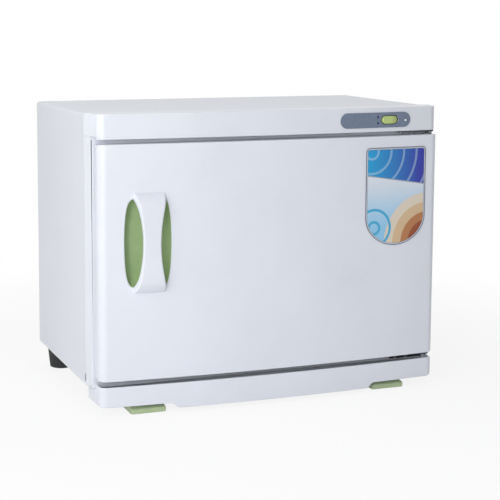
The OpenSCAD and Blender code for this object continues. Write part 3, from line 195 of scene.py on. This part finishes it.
def eased(node, radius=0.0, steps=2, skip=(), clamp=True):
    """A merged copy of a CAD node's mesh, its sharp edges rounded apart from those in the skip boxes."""
    sharp_angle = math.radians(40)
    bm = bmesh.new()
    bm.from_mesh(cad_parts[node].data)
    bmesh.ops.remove_doubles(bm, verts=bm.verts, dist=2e-6)
    bmesh.ops.dissolve_limit(bm, angle_limit=math.radians(0.05), verts=bm.verts, edges=bm.edges)
    bmesh.ops.connect_verts_concave(bm, faces=bm.faces)

    def skipped(v):
        return any(all(lo[i] * mm <= v.co[i] <= hi[i] * mm for i in range(3)) for lo, hi in skip)

    if radius:
        sharp = [e for e in bm.edges if e.calc_face_angle(0) > sharp_angle
                 and not any(skipped(v) for v in e.verts)]
        bmesh.ops.bevel(bm, geom=sharp, offset=radius * mm, offset_type="OFFSET", segments=steps, profile=0.5,
                        affect="EDGES", clamp_overlap=clamp, material=-1)
    return bm


def fit(bm, name, body, slot, material, *nodes, angle=40):
    """Makes a piece of a bmesh, smooth over its rounded edges, riding on a body in place of CAD nodes."""
    mesh = bpy.data.meshes.new(name)
    bm.to_mesh(mesh)
    bm.free()
    for each in material if isinstance(material, (list, tuple)) else [material]:
        mesh.materials.append(each)
    mesh.shade_smooth()
    mesh.set_sharp_from_angle(angle=math.radians(angle))
    piece = bpy.data.objects.new(name, mesh)
    bpy.context.collection.objects.link(piece)
    even = piece.modifiers.new("even", "WEIGHTED_NORMAL")
    even.keep_sharp = True
    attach(piece, body)
    if nodes:
        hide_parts(*nodes)


# The shell's edges are painted paler, mostly as painted highlight along its edges and seams.
powder = finish("powder_coat", tone(226, 229, 236), 0.42, grain=0.0013, depth=0.012, edge_wear_and_highlight=0.9)
rear_edge = ((-230, 120, 0), (230, 140, 360))
slit_ends = ((-230, -95, 33), (230, -90, 47))
bm = eased("wrap_shell", 0.45, clamp=False, skip=[rear_edge, slit_ends])
slit_y, slit_foot, slit_top, slit_wider = -91.932, 35, 46, 3
for v in bm.verts:
    if abs(v.co.y - slit_y * mm) < 0.1 * mm and slit_foot * mm < v.co.z < slit_top * mm:
        v.co.y += slit_wider * mm
fit(bm, "shell", "cabinet", "painted_steel", powder, "wrap_shell")


# Rear sheet. Zinc plated steel with two columns of punched vent slots. Six domed screws with
# cross recesses hold it against the shell's flanges.
def turned(points, axis, place, steps=32):
    """A closed solid turned about an axis, from pairs of radius and place along the axis, in mm."""
    bm = bmesh.new()
    chain = [bm.verts.new((r * mm, 0, h * mm)) for r, h in points]
    for a, b in zip(chain, chain[1:]):
        bm.edges.new((a, b))
    bmesh.ops.spin(bm, geom=bm.verts[:] + bm.edges[:], axis=(0, 0, 1), cent=(0, 0, 0), angle=math.tau,
                   steps=steps, use_merge=True)
    bmesh.ops.remove_doubles(bm, verts=bm.verts, dist=1e-7)
    turn = {"X": Matrix.Rotation(math.pi / 2, 4, "Y"), "Y": Matrix.Rotation(-math.pi / 2, 4, "X"),
            "Z": Matrix.Identity(4)}[axis]
    bmesh.ops.transform(bm, matrix=Matrix.Translation(Vector(place) * mm) @ turn, verts=bm.verts)
    bmesh.ops.recalc_face_normals(bm, faces=bm.faces)
    return bm


def joined(parts):
    """One bmesh from several."""
    whole = bmesh.new()
    for part in parts:
        spare = bpy.data.meshes.new("spare")
        part.to_mesh(spare)
        part.free()
        whole.from_mesh(spare)
        bpy.data.meshes.remove(spare)
    return whole


def screw(place, head_r=2.8, head_h=1.6, shank_r=1.5, shank=5.0):
    """A screw that faces backwards, with a domed head and a cross recess."""
    bm = turned([(0, -shank), (shank_r * 0.6, -shank), (shank_r, -shank + 0.9), (shank_r, 0), (head_r, 0),
                 (head_r, 0.35 * head_h), (head_r * 0.88, 0.7 * head_h), (head_r * 0.6, 0.93 * head_h),
                 (head_r * 0.42, head_h)], "Z", (0, 0, 0), 24)
    rim = [e for e in bm.edges if e.is_boundary and e.verts[0].co.z > 0.9 * head_h * mm]
    # The cross recess: the top's rim is capped, and every second quarter of it is pushed inwards.
    cap = bmesh.ops.contextual_create(bm, geom=rim)["faces"]
    bmesh.ops.inset_region(bm, faces=cap, thickness=0.12 * head_r * mm)
    for v in {v for f in cap for v in f.verts}:
        turn = math.atan2(v.co.y, v.co.x)
        v.co.x *= 0.45 + 0.55 * math.cos(2 * turn) ** 2
        v.co.y *= 0.45 + 0.55 * math.cos(2 * turn) ** 2
        v.co.z -= 0.5 * head_h * mm
    backwards = Matrix.Rotation(-math.pi / 2, 4, "X")
    bmesh.ops.transform(bm, matrix=Matrix.Translation(Vector(place) * mm) @ backwards, verts=bm.verts)
    bmesh.ops.recalc_face_normals(bm, faces=bm.faces)
    return bm


plated = finish("plated_steel", tone(176, 180, 184), 0.38, metal=1.0, drift=0.10, patch=0.006, grain=0.0008,
                depth=0.003, gloss_drift=0.12, cells=True)
fit(eased("back_panel", 0.2, steps=1, clamp=False), "rear_sheet", "cabinet", "plated_steel", plated,
    "back_panel")
screw_steel = finish("screw_steel", tone(190, 192, 196), 0.28, metal=1.0, drift=0.08, patch=0.004,
                     grain=0.0004, depth=0.002)
screw_x, screw_y, screw_heights = 218.5, 135.568, (58.3, 180.5, 326.2)
fit(joined([screw((side * screw_x, screw_y, z)) for side in (-1, 1) for z in screw_heights]),
    "back_screws", "cabinet", "screw_steel", screw_steel, "back_screws")


# Base. A zinc plated sheet under the chamber, screwed down into the four feet. A smaller sheet of
# the same kind lies above the chamber's wool, and carries the electrical pieces.
def dress(material, *nodes):
    """Gives a material to CAD nodes that are shown as they are."""
    for node in nodes:
        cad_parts[node].material_slots[0].material = material


dress(plated, "base_plate", "component_tray")
dress(screw_steel, "foot_screws")

# Cord gland. A black nylon bush through the rear sheet, rounded at its mouth. A six-sided nut holds
# it from inside.
# Its edges are painted a little paler, as wear and painted highlight.
black = finish("black_plastic", tone(30, 31, 33), 0.45, drift=0.1, grain=0.0006, depth=0.01, edge_wear_and_highlight=0.3)
fit(eased("cord_gland", 0.8), "cord_gland", "cabinet", "black_plastic", black, "cord_gland")
fit(eased("gland_nut", 0.5), "gland_nut", "cabinet", "black_plastic", black, "gland_nut")


# Front frame. One glossy moulding carries the bowed header and the flat face behind the door. Lips
# locate it inside the shell, and stop short at the shell's slits. The header's corners are rounded.
def soften_ends(bm, half, rear, *corners):
    """Rounds corners of a bowed front of this half width, ahead of y rear. Each corner has its side, the
    height of its edge, the way that its edge moves (1 up, -1 down), and its width and height."""
    for side, edge, way, wide, tall in corners:
        for v in bm.verts:
            into = (side * v.co.x / mm - half) / wide + 1
            if v.co.y < rear * mm and into > 0 and abs(v.co.z / mm - edge) < 1.5:
                v.co.z += way * tall * (1 - math.sqrt(max(0, 1 - into * into))) * mm


# The moulding's edges are painted paler, mostly as painted highlight.
moulded = finish("moulded_front", tone(228, 231, 239), 0.34, grain=0.0007, depth=0.003, edge_wear_and_highlight=0.8)
front_half = 218.5
lower_corner, upper_corner = (323.5, 1, 2.5, 2.5), (353, -1, 1.5, 1.5)
bm = eased("front_frame", 0.9, clamp=False)
soften_ends(bm, front_half, -110, (-1, *lower_corner), (-1, *upper_corner), (1, *lower_corner),
            (1, *upper_corner))
lip_x, lip_y, lip_foot, lip_foot_top, lip_shorter = 220, -95, 35, 38, 9.5
for v in bm.verts:
    if abs(v.co.x) > lip_x * mm and v.co.y > lip_y * mm and lip_foot * mm < v.co.z < lip_foot_top * mm:
        v.co.z += lip_shorter * mm
fit(bm, "frame_moulding", "cabinet", "inner_plastic", moulded, "front_frame")

# Control plate. A bare grey-blue pill of printed polycarbonate glued to the header. Two dark lenses
# stand over one another left of the switch, and one clear lens stands right of it.
slate = finish("plate_film", tone(112, 124, 146), 0.38, drift=0.06, patch=0.004, grain=0.0005, depth=0.004)
fit(eased("panel_plate", 0.3), "control_plate", "cabinet", "grey_plate", slate, "panel_plate")
dark_lens = finish("dark_lens", tone(44, 52, 96), 0.12, drift=0.15, patch=0.001)
clear_lens = finish("clear_lens", tone(244, 247, 250), 0.12, drift=0.03, patch=0.001)
lens_outline = [(0, 6), (1.3, 6), (1.5, 5.7), (1.5, 0.75), (1.25, 0.35), (0.75, 0.1), (0, 0)]
for lens, x, z, tip, slot, material in (
        ("heat_lens", 134, 341.55, -132.25, "lens_dark", dark_lens),
        ("lamp_lens", 134, 334.45, -132.25, "lens_dark", dark_lens),
        ("power_lens", 172.8, 337.0, -130.01, "lens_clear", clear_lens)):
    fit(turned(lens_outline, "Y", (x, tip, z), 24), lens, "cabinet", slot, material, lens)

# Switch. A black body behind the header holds a light green rocker on two stubs. The rocker is a
# rounded pill with a faint upright ridge, right of its middle.
fit(eased("switch_body", 0.4), "switch_body", "cabinet", "black_plastic", black, "switch_body")
lime = finish("switch_green", tone(186, 204, 128), 0.30, drift=0.03, patch=0.01, grain=0.0006, depth=0.003)
pivot, rest_tilt = (150.5, -126.434, 338.0), 6
end_r, straight_half, deep, rim_r = 4.8, 6.6, 6.6, 1.7
ridge_x, left_fall, left_length, right_slope = 2.5, 0.75, 13, 0.35
stub_r, stub_half = 1.2, 6.4
bm = bmesh.new()
bmesh.ops.create_circle(bm, cap_ends=True, segments=48, radius=end_r * mm)
for v in bm.verts:
    v.co.x += math.copysign(straight_half * mm, v.co.x)
    v.co.z = 0.0
top = bmesh.ops.extrude_face_region(bm, geom=bm.faces[:])["geom"]
for v in top:
    if isinstance(v, bmesh.types.BMVert):
        v.co.z = deep * mm
rim = [e for e in bm.edges if all(v.co.z > 6 * mm for v in e.verts)]
bmesh.ops.bevel(bm, geom=rim, offset=rim_r * mm, segments=4, profile=0.5, affect="EDGES", material=-1)
for x in (-7, -4.5, -2, 0, 1.5, ridge_x, 3.5, 5.5, 8):
    bmesh.ops.bisect_plane(bm, geom=bm.verts[:] + bm.edges[:] + bm.faces[:], plane_co=(x * mm, 0, 0),
                           plane_no=(1, 0, 0))
for v in bm.verts:
    if v.co.z > 3 * mm:
        out = v.co.x / mm
        fall = left_fall * max(0, ridge_x - out) / left_length + right_slope * max(0, out - ridge_x)
        v.co.z -= fall * mm
tilted = Matrix.Rotation(math.radians(rest_tilt), 4, "Z") @ Matrix.Rotation(math.pi / 2, 4, "X")
bmesh.ops.transform(bm, matrix=Matrix.Translation(Vector(pivot) * mm) @ tilted, verts=bm.verts)
stubs = turned([(0, -stub_half), (stub_r, -stub_half), (stub_r, stub_half), (0, stub_half)], "Z", pivot, 24)
fit(joined([bm, stubs]), "rocker", "rocker", "green_plastic", lime, "switch_rocker")

# Hinges. Two plated leaves with turned pins carry the door: the upper one is screwed up into the
# header, and the lower one is bent and screwed back into the frame. The leaves end in wide rounds
# at the right, and the pins run in nylon bushes. Leaves and pins get a dark tone that is painted
# shade, standing in for the shade of the gaps they sit in.
shade_darkened_hinge_metal = finish("hinge_steel", tone(74, 77, 84), 0.45, metal=1.0, drift=0.1, patch=0.01, grain=0.0006,
                     depth=0.003, lie=(0.1, 1, 1))
hinge_x, hinge_y, round_rear_y, pin_room, wider = 208, -120.745, -112, 4, 1.6
for name, node in (("upper_leaf", "upper_hinge_plate"), ("lower_leaf", "lower_hinge_plate")):
    bm = eased(node, 0.4)
    for v in bm.verts:
        from_pin = math.hypot(v.co.x - hinge_x * mm, v.co.y - hinge_y * mm)
        if v.co.x > hinge_x * mm and v.co.y < round_rear_y * mm and from_pin > pin_room * mm:
            v.co.x = hinge_x * mm + wider * (v.co.x - hinge_x * mm)
    fit(bm, name, "cabinet", "hinge_steel", shade_darkened_hinge_metal, node)
for name, node in (("upper_pin", "upper_hinge_pin"), ("lower_pin", "lower_hinge_pin")):
    fit(eased(node, 0.5, clamp=False), name, "cabinet", "hinge_steel", shade_darkened_hinge_metal, node)
fit(eased("hinge_screws", 0.4), "hinge_screws", "cabinet", "screw_steel", screw_steel, "hinge_screws")
bush_grey = finish("bush_plastic", tone(122, 124, 130), 0.4, patch=0.01)
for bush in ("upper_bush", "lower_bush"):
    fit(eased(bush, 0.3), bush, "door", "bush_plastic", bush_grey, bush)

# Catch. A dark ferrite magnet is pressed into the frame's face. It draws a steel strike that is
# fixed on the door's liner.
ferrite = finish("ferrite", tone(52, 48, 46), 0.7, drift=0.2, patch=0.003, grain=0.0004, depth=0.02)
fit(eased("catch_magnet", 0.4), "catch_magnet", "cabinet", "magnet", ferrite, "catch_magnet")
strike = finish("strike_steel", tone(176, 180, 186), 0.25, metal=1.0, drift=0.08, patch=0.006, depth=0.003,
                lie=(1, 1, 0.05), gloss_drift=0.1)
fit(eased("catch_strike", 0.4), "catch_strike", "door", "hinge_steel", strike, "catch_strike")

# Front feet. Green moulded blocks screwed up under the base; their toes reach forward under the
# tray and carry it. The toes' front corners are rounded, and their tops step down at the front.
foot_green = finish("foot_green", tone(184, 201, 160), 0.45, drift=0.05, patch=0.02, grain=0.0008,
                    depth=0.008)
foot_half, toe_rear, toe_r = 21.5, -110, 2.6
foot_outline = [(-126.43, 0.8), (-125.6, 0), (-51.2, 0), (-50.43, 0.8), (-50.43, 33), (-76.43, 33),
                (-76.43, 11.7), (-112.0, 11.7), (-112.6, 8.4), (-124.6, 7.0), (-126.43, 5.6)]
for side, middle in (("left", -157.5), ("right", 157.5)):
    bm = bmesh.new()
    face = bm.faces.new([bm.verts.new(((middle - foot_half) * mm, y * mm, z * mm)) for y, z in foot_outline])
    far = bmesh.ops.extrude_face_region(bm, geom=[face])["geom"]
    bmesh.ops.translate(bm, vec=(2 * foot_half * mm, 0, 0),
                        verts=[v for v in far if isinstance(v, bmesh.types.BMVert)])
    bmesh.ops.recalc_face_normals(bm, faces=bm.faces)
    toe = []
    for e in bm.edges:
        a, b = (v.co for v in e.verts)
        if abs(a.x - b.x) < 1e-6 and max(a.y, b.y) < toe_rear * mm and abs(a.z - b.z) > 1e-4:
            toe.append(e)
    bmesh.ops.bevel(bm, geom=toe, offset=toe_r * mm, segments=4, profile=0.5, affect="EDGES", material=-1)
    fit(bm, "foot_" + side, "cabinet", "foot_green", foot_green, "front_foot_" + side)

# Rear feet. Black rubber cones that are widest at the top, with a shallow groove above the floor.
# They are screwed up under the base.
rubber = finish("black_rubber", tone(36, 37, 39), 0.72, drift=0.15, patch=0.02, grain=0.0008, depth=0.02)
cone_outline = [(0, 0), (13.6, 0), (15.0, 0.8), (15.4, 2), (15.1, 2.8), (15.1, 3.6), (15.5, 4.4),
                (18.2, 30.4), (17.5, 31.4), (11.6, 31.6), (11.6, 33), (0, 33)]
for side, middle in (("left", -200.5), ("right", 200.5)):
    fit(turned(cone_outline, "Z", (middle, 117.568, 0), 40), "rear_foot_" + side, "cabinet", "black_rubber",
        rubber, "rear_foot_" + side)

# Chamber. Brushed aluminium sheet folded to an open box, with pressed ledges for the racks, and
# glass wool packed around it.
sheet_metal = finish("chamber_sheet", tone(196, 200, 206), 0.30, metal=1.0, drift=0.05, grain=0.0004,
                     depth=0.002, lie=(0.03, 1, 1), gloss_drift=0.1)
dress(sheet_metal, "chamber")
for side in ("left", "right"):
    fit(eased(side + "_runners", 0.5), side + "_ledges", "cabinet", "chamber_sheet", sheet_metal,
        side + "_runners")
wool = finish("wool", tone(214, 196, 130), 0.9, drift=0.25, patch=0.01, grain=0.002, depth=0.5)
dress(wool, "insulation")

# Racks. Chromed steel wire: a thick rim bent round at its corners, with thin cross wires welded on.
# They lie loose on the chamber's ledges.
chrome = finish("chrome_wire", tone(214, 217, 222), 0.12, metal=1.0, drift=0.04, patch=0.02, grain=0.003,
                depth=0.001, gloss_drift=0.05)
for rack in ("upper_rack", "lower_rack"):
    fit(eased(rack), rack, "cabinet", "rack_wire", chrome, rack, angle=50)

# Heater. An orange silicone pad glued under the chamber, with a black thermostat and a steel
# fuse clipped against it.
silicone = finish("heater_silicone", tone(206, 92, 36), 0.55, drift=0.06, patch=0.02, grain=0.0012,
                  depth=0.03)
fit(eased("heater_pad", 0.5), "heater_pad", "cabinet", "heater", silicone, "heater_pad")
fit(eased("thermostat", 0.6), "thermostat", "cabinet", "black_plastic", black, "thermostat")
dress(screw_steel, "thermal_fuse")

# Lamp. A glass tube with a steel cap at each end is held between two white holders under the
# chamber's ceiling, behind a folded guard with slots.
glass = finish("lamp_glass", tone(214, 228, 244), 0.06, drift=0.04, patch=0.03, depth=0.0,
               transmission_weight=0.6, ior=1.47)
caps = finish("lamp_caps", tone(200, 202, 206), 0.3, metal=1.0, drift=0.05, patch=0.004)
lamp_y, lamp_z, lamp_half, pin_up = 102.568, 283.5, 106, 2.4
bm = turned([(0, -lamp_half), (7.2, -lamp_half), (8, -105.2), (8, -94), (7.7, -93.4), (7.7, 93.4), (8, 94),
             (8, 105.2), (7.2, lamp_half), (0, lamp_half)], "X", (0, lamp_y, lamp_z), 48)
for f in bm.faces:
    f.material_index = 1 if abs(f.calc_center_median().x) > 93.3 * mm else 0
left_pin = [(0, -4), (0.4, -4), (0.6, -3.7), (0.6, 0), (0, 0)]
right_pin = [(0, 0), (0.6, 0), (0.6, 3.7), (0.4, 4), (0, 4)]
pins = [turned(outline, "X", (x, lamp_y, lamp_z + up), 12)
        for outline, x in ((left_pin, -lamp_half), (right_pin, lamp_half)) for up in (-pin_up, pin_up)]
for pin in pins:
    for f in pin.faces:
        f.material_index = 1
fit(joined([bm] + pins), "lamp_tube", "cabinet", "glass_tube", [glass, caps], "lamp_tube")
lamp_white = finish("lamp_plastic", tone(236, 236, 230), 0.4, patch=0.02)
fit(eased("lamp_holders", 0.6), "lamp_holders", "cabinet", "lamp_plastic", lamp_white, "lamp_holders")
fit(eased("lamp_guard", 0.3), "lamp_guard", "cabinet", "guard_sheet", sheet_metal, "lamp_guard")

# Electrical pieces. A laminated steel ballast, a starter in its white can and a terminal block,
# all fixed to a plated sheet of their own.
laminated = finish("ballast_steel", tone(96, 98, 104), 0.5, metal=0.8, drift=0.2, patch=0.003, grain=0.0005,
                   depth=0.02, lie=(1, 1, 0.05))
fit(eased("ballast", 0.5), "ballast", "cabinet", "hinge_steel", laminated, "ballast")
fit(eased("lamp_starter", 0.5), "lamp_starter", "cabinet", "lamp_plastic", lamp_white, "lamp_starter")
dress(lamp_white, "terminal_block")

# Door. A glossy white bowed moulding with rounded upright edges and rounded corners. It is hung on
# the two hinge pins at its right, and filled with foam behind its skin.
# Its edges are painted a little paler, as wear and painted highlight.
door_white = finish("door_white", tone(229, 232, 241), 0.30, grain=0.0008, depth=0.002, edge_wear_and_highlight=0.3)
bm = eased("door_shell", 1.2, clamp=False)
soften_ends(bm, front_half, 0, (-1, 42.5, 1, 2.4, 2.4), (1, 42.5, 1, 3, 2.4), (-1, 318.5, -1, 3.2, 3.2),
            (1, 318.5, -1, 3.2, 3.2))
fit(bm, "door_skin", "door", "white_plastic", door_white, "door_shell")
foam = finish("foam", tone(236, 226, 180), 0.9, drift=0.08, patch=0.01, grain=0.002, depth=0.2)
dress(foam, "door_foam")

# Door liner. A white inner sheet with a raised panel closes the door's rear. A grey rubber gasket
# lies on it around the chamber's mouth.
liner_white = finish("liner_white", tone(232, 233, 236), 0.35, grain=0.0009, depth=0.004)
fit(eased("door_liner", 0.9), "door_liner", "door", "inner_plastic", liner_white, "door_liner")
gasket = finish("gasket_rubber", tone(150, 153, 158), 0.6, drift=0.05, patch=0.02, grain=0.0008, depth=0.015)
fit(eased("door_gasket", 1.5), "gasket", "door", "gasket_rubber", gasket, "door_gasket")

# Handle. A green bowl with a squarish oval outline is let into the door from behind, and a white
# bar with a waist bridges it, screwed on from inside the door. The bar runs flat and turns down to
# the door at both ends.
door_front, door_bow_r = -139.432, 2656.85


def door_face(x):
    """Where the door's bowed face lies in Y at x, in mm."""
    return door_front + door_bow_r - math.sqrt(door_bow_r ** 2 - x * x)


handle_x, bar_x, handle_z = -160.7, -159.2, 204.0
bowl_green = finish("bowl_green", tone(166, 190, 140), 0.26, drift=0.03, patch=0.02, grain=0.0008,
                    depth=0.004)
bowl_half_w, bowl_half_h, bowl_square = 27.8, 51.8, 0.24
bm = turned([(0, 13.9), (0.62, 13.9), (0.76, 13.4), (0.86, 12.1), (0.925, 9.8), (0.96, 7), (0.982, 4),
             (0.992, 1.2), (0.997, 1.0), (1.004, 1.2), (1.006, 2.6), (1.03, 2.6), (1.03, 4), (1.01, 4.0),
             (1.004, 7), (0.98, 10.5), (0.92, 13.4), (0.8, 15.2), (0.62, 15.4), (0, 15.4)], "Y",
            (0, 0, 0), 96)
for v in bm.verts:
    share = math.hypot(v.co.x, v.co.z)
    turn_share = v.co.x / share if share else 0
    wide = bowl_half_w * share * math.copysign(abs(turn_share) ** bowl_square, turn_share)
    v.co.x = wide + handle_x * mm
    v.co.z = v.co.z * bowl_half_h + handle_z * mm
    v.co.y += door_face(v.co.x / mm) * mm
bmesh.ops.recalc_face_normals(bm, faces=bm.faces)
fit(bm, "handle_bowl", "door", "cup_green", bowl_green, "handle_cup")

# The bar is a row of rings from top to bottom, each with four rounded corners.
bar_rings, end_length, end_bend = 48, 18, 2.2
inner_reach, inner_half, outer_reach, outer_half = 8, 50.5, 13, 58.5
waist_half, end_wider = 10.5, 8.5
bm = bmesh.new()
rings = []
for i in range(bar_rings + 1):
    height = math.cos(math.pi * i / bar_rings)
    under, over = (
        Vector((0, -reach * (1 - max(0, 1 - tall * (1 - abs(height)) / end_length) ** end_bend),
                tall * height))
        for reach, tall in ((inner_reach, inner_half), (outer_reach, outer_half)))
    half_wide, thick = waist_half + end_wider * height ** 2, (over - under).length
    ring = []
    for corner, (r, right, upper) in enumerate(((0.9, 1, 0), (1.8, 1, 1), (1.8, -1, 1), (0.9, -1, 0))):
        for k in range(5):
            way = math.radians(90 * corner - 90 + 22.5 * k)
            place = under.lerp(over, ((thick - r if upper else r) + r * math.sin(way)) / thick)
            place.x = bar_x + (half_wide - r) * right + r * math.cos(way)
            # Near the door the ring follows the door's bow; farther out it is straight across.
            root = max(0, 1 + place.y / 3)
            place.y += door_face(place.x) * root + door_face(handle_x) * (1 - root)
            place.z += handle_z
            ring.append(bm.verts.new(place * mm))
    rings.append(ring)
for near, far in zip(rings, rings[1:]):
    for k in range(len(near)):
        bm.faces.new((near[k - 1], near[k], far[k], far[k - 1]))
bm.faces.new(rings[0])
bm.faces.new(rings[-1])
bmesh.ops.recalc_face_normals(bm, faces=bm.faces)
fit(bm, "handle_bar", "door", "white_plastic", door_white, "handle_bar")
tip_out, tip_shorter = 1, 0.9
bm = eased("handle_screws", 0.4)
for v in bm.verts:
    if v.co.y < (door_face(v.co.x / mm) - tip_out) * mm:
        v.co.y += tip_shorter * mm
fit(bm, "handle_screws", "door", "screw_steel", screw_steel, "handle_screws")


# Label. A printed shield of film on the door, with a square top and a round lower end. Two silver
# lines with a white border between them frame a print: a blue field over a pale ground with rings,
# and warm bands at the lower right.
def shield_print(tree, spot):
    """The label's print, from the place on the door in metres."""
    place = add(tree, "SeparateXYZ", {"Vector": spot.outputs["Object"]})

    def span(value, lo, hi, a=0.0, b=1.0, kind="SMOOTHSTEP"):
        limits = {"Value": value, "From Min": lo, "From Max": hi, "To Min": a, "To Max": b}
        return add(tree, "MapRange", limits, interpolation_type=kind).outputs[0]

    def blend(share, low, high):
        return add(tree, "Mix", {0: share, 6: low, 7: high}, data_type="RGBA").outputs[2]

    def sum_of(a, b, how="ADD"):
        return add(tree, "Math", {0: a, 1: b}, operation=how).outputs[0]

    def far_from(x, z):
        return add(tree, "VectorMath", {0: spot.outputs["Object"], 1: (x * mm, door_face(x) * mm, z * mm)},
                   operation="DISTANCE").outputs["Value"]

    across_x, up_z = place.outputs["X"], place.outputs["Z"]
    shown = blend(span(up_z, 0.195, 0.280), tone(144, 202, 238), tone(228, 232, 240))
    # Warm quarter bands from the lower right corner.
    warm = far_from(203, 186)
    for edge, colour in ((0.062, tone(226, 214, 196)), (0.050, tone(216, 186, 148)),
                         (0.038, tone(184, 122, 74)), (0.028, tone(150, 72, 34))):
        shown = blend(span(warm, edge, edge - 0.002), shown, colour)
    # Blue rings that spread from the lower left, and fade 34 mm out.
    ripple = far_from(128, 206)
    wave = sum_of(sum_of(ripple, 0.0075, "PINGPONG"), 0.0058, "GREATER_THAN")
    wave = sum_of(wave, span(ripple, 0.034, 0.026), "MULTIPLY")
    shown = blend(wave, shown, tone(70, 170, 214))
    # The upper field runs from cyan to deep blue with faint rings, above a slanting silver line.
    field = blend(span(across_x, 0.118, 0.192, kind="LINEAR"), tone(20, 160, 216), tone(40, 50, 166))
    glint = far_from(124, 300)
    rings = sum_of(sum_of(sum_of(glint, 0.009, "PINGPONG"), 0.0075, "GREATER_THAN"), 0.35, "MULTIPLY")
    field = blend(rings, field, tone(196, 226, 244))
    slope = sum_of(up_z, sum_of(across_x, 0.16, "MULTIPLY"), "ADD")
    shown = blend(span(slope, 0.2890, 0.2894), shown, tone(150, 158, 172))
    return blend(span(slope, 0.2902, 0.2906), shown, field)


film = finish("label_film", tone(224, 230, 234), 0.24, drift=0.02, patch=0.01, grain=0.0008, depth=0.002,
              print_on=shield_print)
silver = finish("label_silver", tone(112, 119, 138), 0.3, drift=0.05, patch=0.004)
border = finish("label_border", tone(214, 218, 226), 0.26, drift=0.02, patch=0.004)
label_x, half, top, low = 158.25, 42.25, 304.7, 219.7
corner_r, round_tall, film_out, glue_out = 5, 36, 0.6, 0.1
edge = [(half - corner_r + corner_r * math.cos(a), top - corner_r + corner_r * math.sin(a))
        for a in (math.pi / 2 * i / 6 for i in range(7))]
edge = edge + [(-x, z) for x, z in reversed(edge)]
edge += [(-half * math.cos(a), low - round_tall * math.sin(a)) for a in (math.pi * i / 48 for i in range(49))]
bm = bmesh.new()
core = bm.faces.new([bm.verts.new(((label_x + x) * mm, 0, z * mm)) for x, z in edge])
bm.normal_update()
if core.normal.y > 0:
    core.normal_flip()
for width, kind in ((1.2, 1), (0.9, 2), (0.5, 1)):
    made = bmesh.ops.inset_region(bm, faces=[core], thickness=width * mm, use_even_offset=True,
                                  use_boundary=True)["faces"]
    for f in made:
        f.material_index = kind
# Upright cuts let the film bend with the door's bow.
for i in range(1, 20):
    bmesh.ops.bisect_plane(bm, geom=bm.verts[:] + bm.edges[:] + bm.faces[:],
                           plane_co=((label_x - half + half / 10 * i) * mm, 0, 0), plane_no=(1, 0, 0))
sheet_faces = bmesh.ops.extrude_face_region(bm, geom=bm.faces[:])["geom"]
lifted = {v for v in sheet_faces if isinstance(v, bmesh.types.BMVert)}
for v in bm.verts:
    v.co.y = (door_face(v.co.x / mm) - (film_out if v in lifted else glue_out)) * mm
bmesh.ops.recalc_face_normals(bm, faces=bm.faces)
fit(bm, "label", "door", "label_film", [film, silver, border], "door_label")

# Drip tray. A shallow white moulding that slides out on the front feet's toes. Its bowed front has
# rounded corners and steps up softly at both ends, and its cheeks run back to the frame.
tray_half, tray_foot, tray_top = 218.2, 12, 36
cheek_x, cheek_front, cheek_rear, cheek_longer = 214.5, -121.98, -119, 10.85
low_rim_from, low_rim_to, low_rim_higher = 27.5, 30.3, 1.4
cut_from, cuts, step_height, step_below = 122, 12, 6.5, 14.9
bm = eased("drip_tray", 1.2, steps=3)
for v in bm.verts:
    at_cheek = abs(v.co.x) > cheek_x * mm and cheek_front * mm < v.co.y < cheek_rear * mm
    if at_cheek and v.co.z > low_rim_from * mm:
        v.co.y += cheek_longer * mm
    if low_rim_from * mm < v.co.z < low_rim_to * mm:
        v.co.z += low_rim_higher * mm
for side in (-1, 1):
    for i in range(cuts):
        bmesh.ops.bisect_plane(bm, geom=bm.verts[:] + bm.edges[:] + bm.faces[:], plane_no=(1, 0, 0),
                               plane_co=((cut_from + i) * side * mm, 0, 0))
# The moulding's straight slope is taken out, and a longer soft one put in.
for v in bm.verts:
    straight, share = (max(0, min(1, (out - abs(v.co.x) / mm) / wide)) for out, wide in ((131, 6), (133, 11)))
    if v.co.z < step_below * mm:
        v.co.z += step_height * (straight - share * share * (3 - 2 * share)) * mm
soften_ends(bm, tray_half, -118, (-1, tray_foot, 1, 3, 3), (1, tray_foot, 1, 10, 5.5),
            (-1, tray_top, -1, 1.5, 1.0), (1, tray_top, -1, 5, 1.6))
fit(bm, "tray", "tray", "white_plastic", door_white, "drip_tray")
